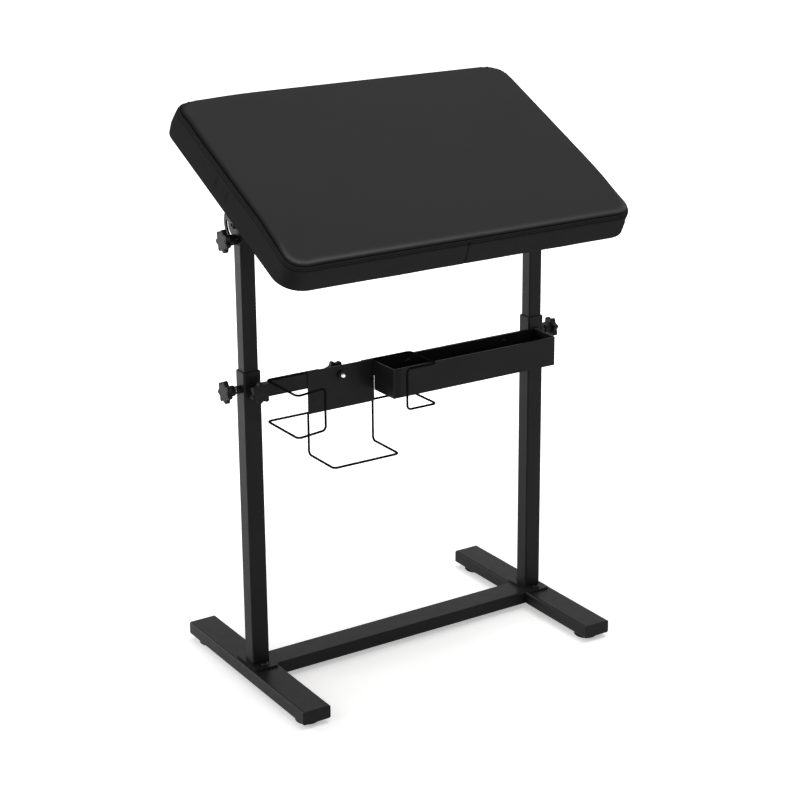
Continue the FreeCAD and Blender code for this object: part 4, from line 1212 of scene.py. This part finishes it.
def tray_screws():
    low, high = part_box("tray_screws")
    middle = (low.z + high.z) / 2
    seats = [(FRONT, Vector((x, low.y + TRAY_SCREW_HEIGHT, middle)))
             for x in (low.x + TRAY_SCREW_RADIUS, high.x - TRAY_SCREW_RADIUS)]
    bolt = domed_bolt(TRAY_SCREW_RADIUS, TRAY_SCREW_HEIGHT, M5_RADIUS, TRAY_SCREW_LENGTH)
    set_of_bolts("tray_screw_heads", "tray_screws", "base", bolt, seats)


def bar_end_screw():
    low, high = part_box("bar_end_screw")
    place = Vector(((low.x + high.x) / 2, low.y + BAR_SCREW_HEIGHT, (low.z + high.z) / 2))
    bolt = domed_bolt(BAR_SCREW_RADIUS, BAR_SCREW_HEIGHT, M6_RADIUS, BAR_SCREW_LENGTH)
    set_of_bolts("bar_end_screw_head", "bar_end_screw", "base", bolt, [(FRONT, place)])


def pivot_bolts():
    low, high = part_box("pivot_bolts")
    reach = high.x - PIVOT_BOLT_HEIGHT
    middle = Vector((0, POST_Y, (low.z + high.z) / 2))
    seats = [(direction, middle + direction * reach) for direction in (LEFT, RIGHT)]
    bolt = domed_bolt(PIVOT_BOLT_RADIUS, PIVOT_BOLT_HEIGHT, M6_RADIUS, PIVOT_BOLT_LENGTH)
    set_of_bolts("pivot_bolt_heads", "pivot_bolts", "lift", bolt, seats)


# Floor, lights and camera

WHITE = (1, 1, 1, 1)
FLOOR_SIZE = 90
FLOOR_COLOUR = (0.93, 0.93, 0.93)
GLOW_DISTANCES = (0.45, 1.6)
GLOW_STRENGTHS = (0.42, 1.0)
SKY_LIGHT = 0.4
SKY_SEEN = 1.0
NEAREST_SEEN = 0.05
FURTHEST_SEEN = 60


def seen_share(tree):
    """One for the camera's rays and for those that mirror or pass through, else nought."""
    rays = tree.nodes.new("ShaderNodeLightPath")
    share = rays.outputs["Is Camera Ray"]
    for name in ("Is Glossy Ray", "Is Transmission Ray"):
        larger = tree.nodes.new("ShaderNodeMath")
        larger.operation = "MAXIMUM"
        tree.links.new(share, larger.inputs[0])
        tree.links.new(rays.outputs[name], larger.inputs[1])
        share = larger.outputs["Value"]
    return share


def floor_paint():
    """Pale paint that glows more away from the stand, where only the eye sees it."""
    paint = Finish("pale_floor", colour=FLOOR_COLOUR, roughness=0.9)
    paint.gleam(0.0)
    distance = paint.add("ShaderNodeVectorMath", operation="LENGTH")
    paint.link(paint.place, distance.inputs[0])
    glow = paint.mapped(distance.outputs["Value"], source=GLOW_DISTANCES, result=GLOW_STRENGTHS,
                        interpolation_type="SMOOTHSTEP")
    strength = paint.product(glow, seen_share(paint.tree))
    paint.link(strength, paint.shader.inputs["Emission Strength"])
    paint.uniform("Emission Color", WHITE)
    return paint.material


def white_stage():
    """A pale floor that keeps the shadow near the stand and runs into plain white around it."""
    bpy.ops.mesh.primitive_plane_add(size=FLOOR_SIZE, location=(0, 0, 0))
    floor = start("floor")
    floor.data.materials.append(floor_paint())


def white_world():
    """A sky that looks plain white and lights the stand less than it looks."""
    world = bpy.data.worlds.new("studio")
    bpy.context.scene.world = world
    world.use_nodes = True
    tree = world.node_tree
    light = tree.nodes["Background"]
    seen = tree.nodes.new("ShaderNodeBackground")
    for node, strength in ((light, SKY_LIGHT), (seen, SKY_SEEN)):
        node.inputs["Color"].default_value = WHITE
        node.inputs["Strength"].default_value = strength
    mix = tree.nodes.new("ShaderNodeMixShader")
    tree.links.new(seen_share(tree), mix.inputs["Fac"])
    tree.links.new(light.outputs["Background"], mix.inputs[1])
    tree.links.new(seen.outputs["Background"], mix.inputs[2])
    tree.links.new(mix.outputs["Shader"], tree.nodes["World Output"].inputs["Surface"])


def soft_lights():
    for name, place, width, height, power in LIGHTS:
        data = bpy.data.lights.new(name, "AREA")
        data.shape = "RECTANGLE"
        data.size = width
        data.size_y = height
        data.energy = power
        light = linked(name, data)
        light.location = place
        light.rotation_euler = (LIGHTS_AIM - place).to_track_quat("-Z", "Y").to_euler()


def photo_camera():
    """The camera at the photograph's own place and angle, with a small shift for its framing."""
    azimuth = math.radians(CAMERA_AZIMUTH)
    pitch = math.radians(CAMERA_PITCH)
    roll = math.radians(CAMERA_ROLL)
    ahead = Vector((-math.sin(azimuth), math.cos(azimuth), 0))
    look = ahead * math.cos(pitch) - UP * math.sin(pitch)
    level = Vector((math.cos(azimuth), math.sin(azimuth), 0))
    above = level.cross(look)
    picture_right = level * math.cos(roll) + above * math.sin(roll)
    picture_up = above * math.cos(roll) - level * math.sin(roll)
    data = bpy.data.cameras.new("photo_camera")
    data.sensor_width = CAMERA_SENSOR_MM
    data.lens = CAMERA_LENS_MM
    data.shift_x, data.shift_y = CAMERA_SHIFT_SHARES
    data.clip_start = NEAREST_SEEN
    data.clip_end = FURTHEST_SEEN
    camera = linked("photo_camera", data)
    turn = Matrix((picture_right, picture_up, -look)).transposed().to_4x4()
    camera.matrix_world = Matrix.Translation(CAMERA_PLACE + Vector((0, POST_Y, 0))) @ turn
    bpy.context.scene.camera = camera


paint_frame()
padded_top()
pad_underside()
knobs_and_studs()
foot_bolts()
tray_screws()
bar_end_screw()
pivot_bolts()
white_stage()
white_world()
soft_lights()
photo_camera()
bpy.context.scene.view_settings.view_transform = "Standard"
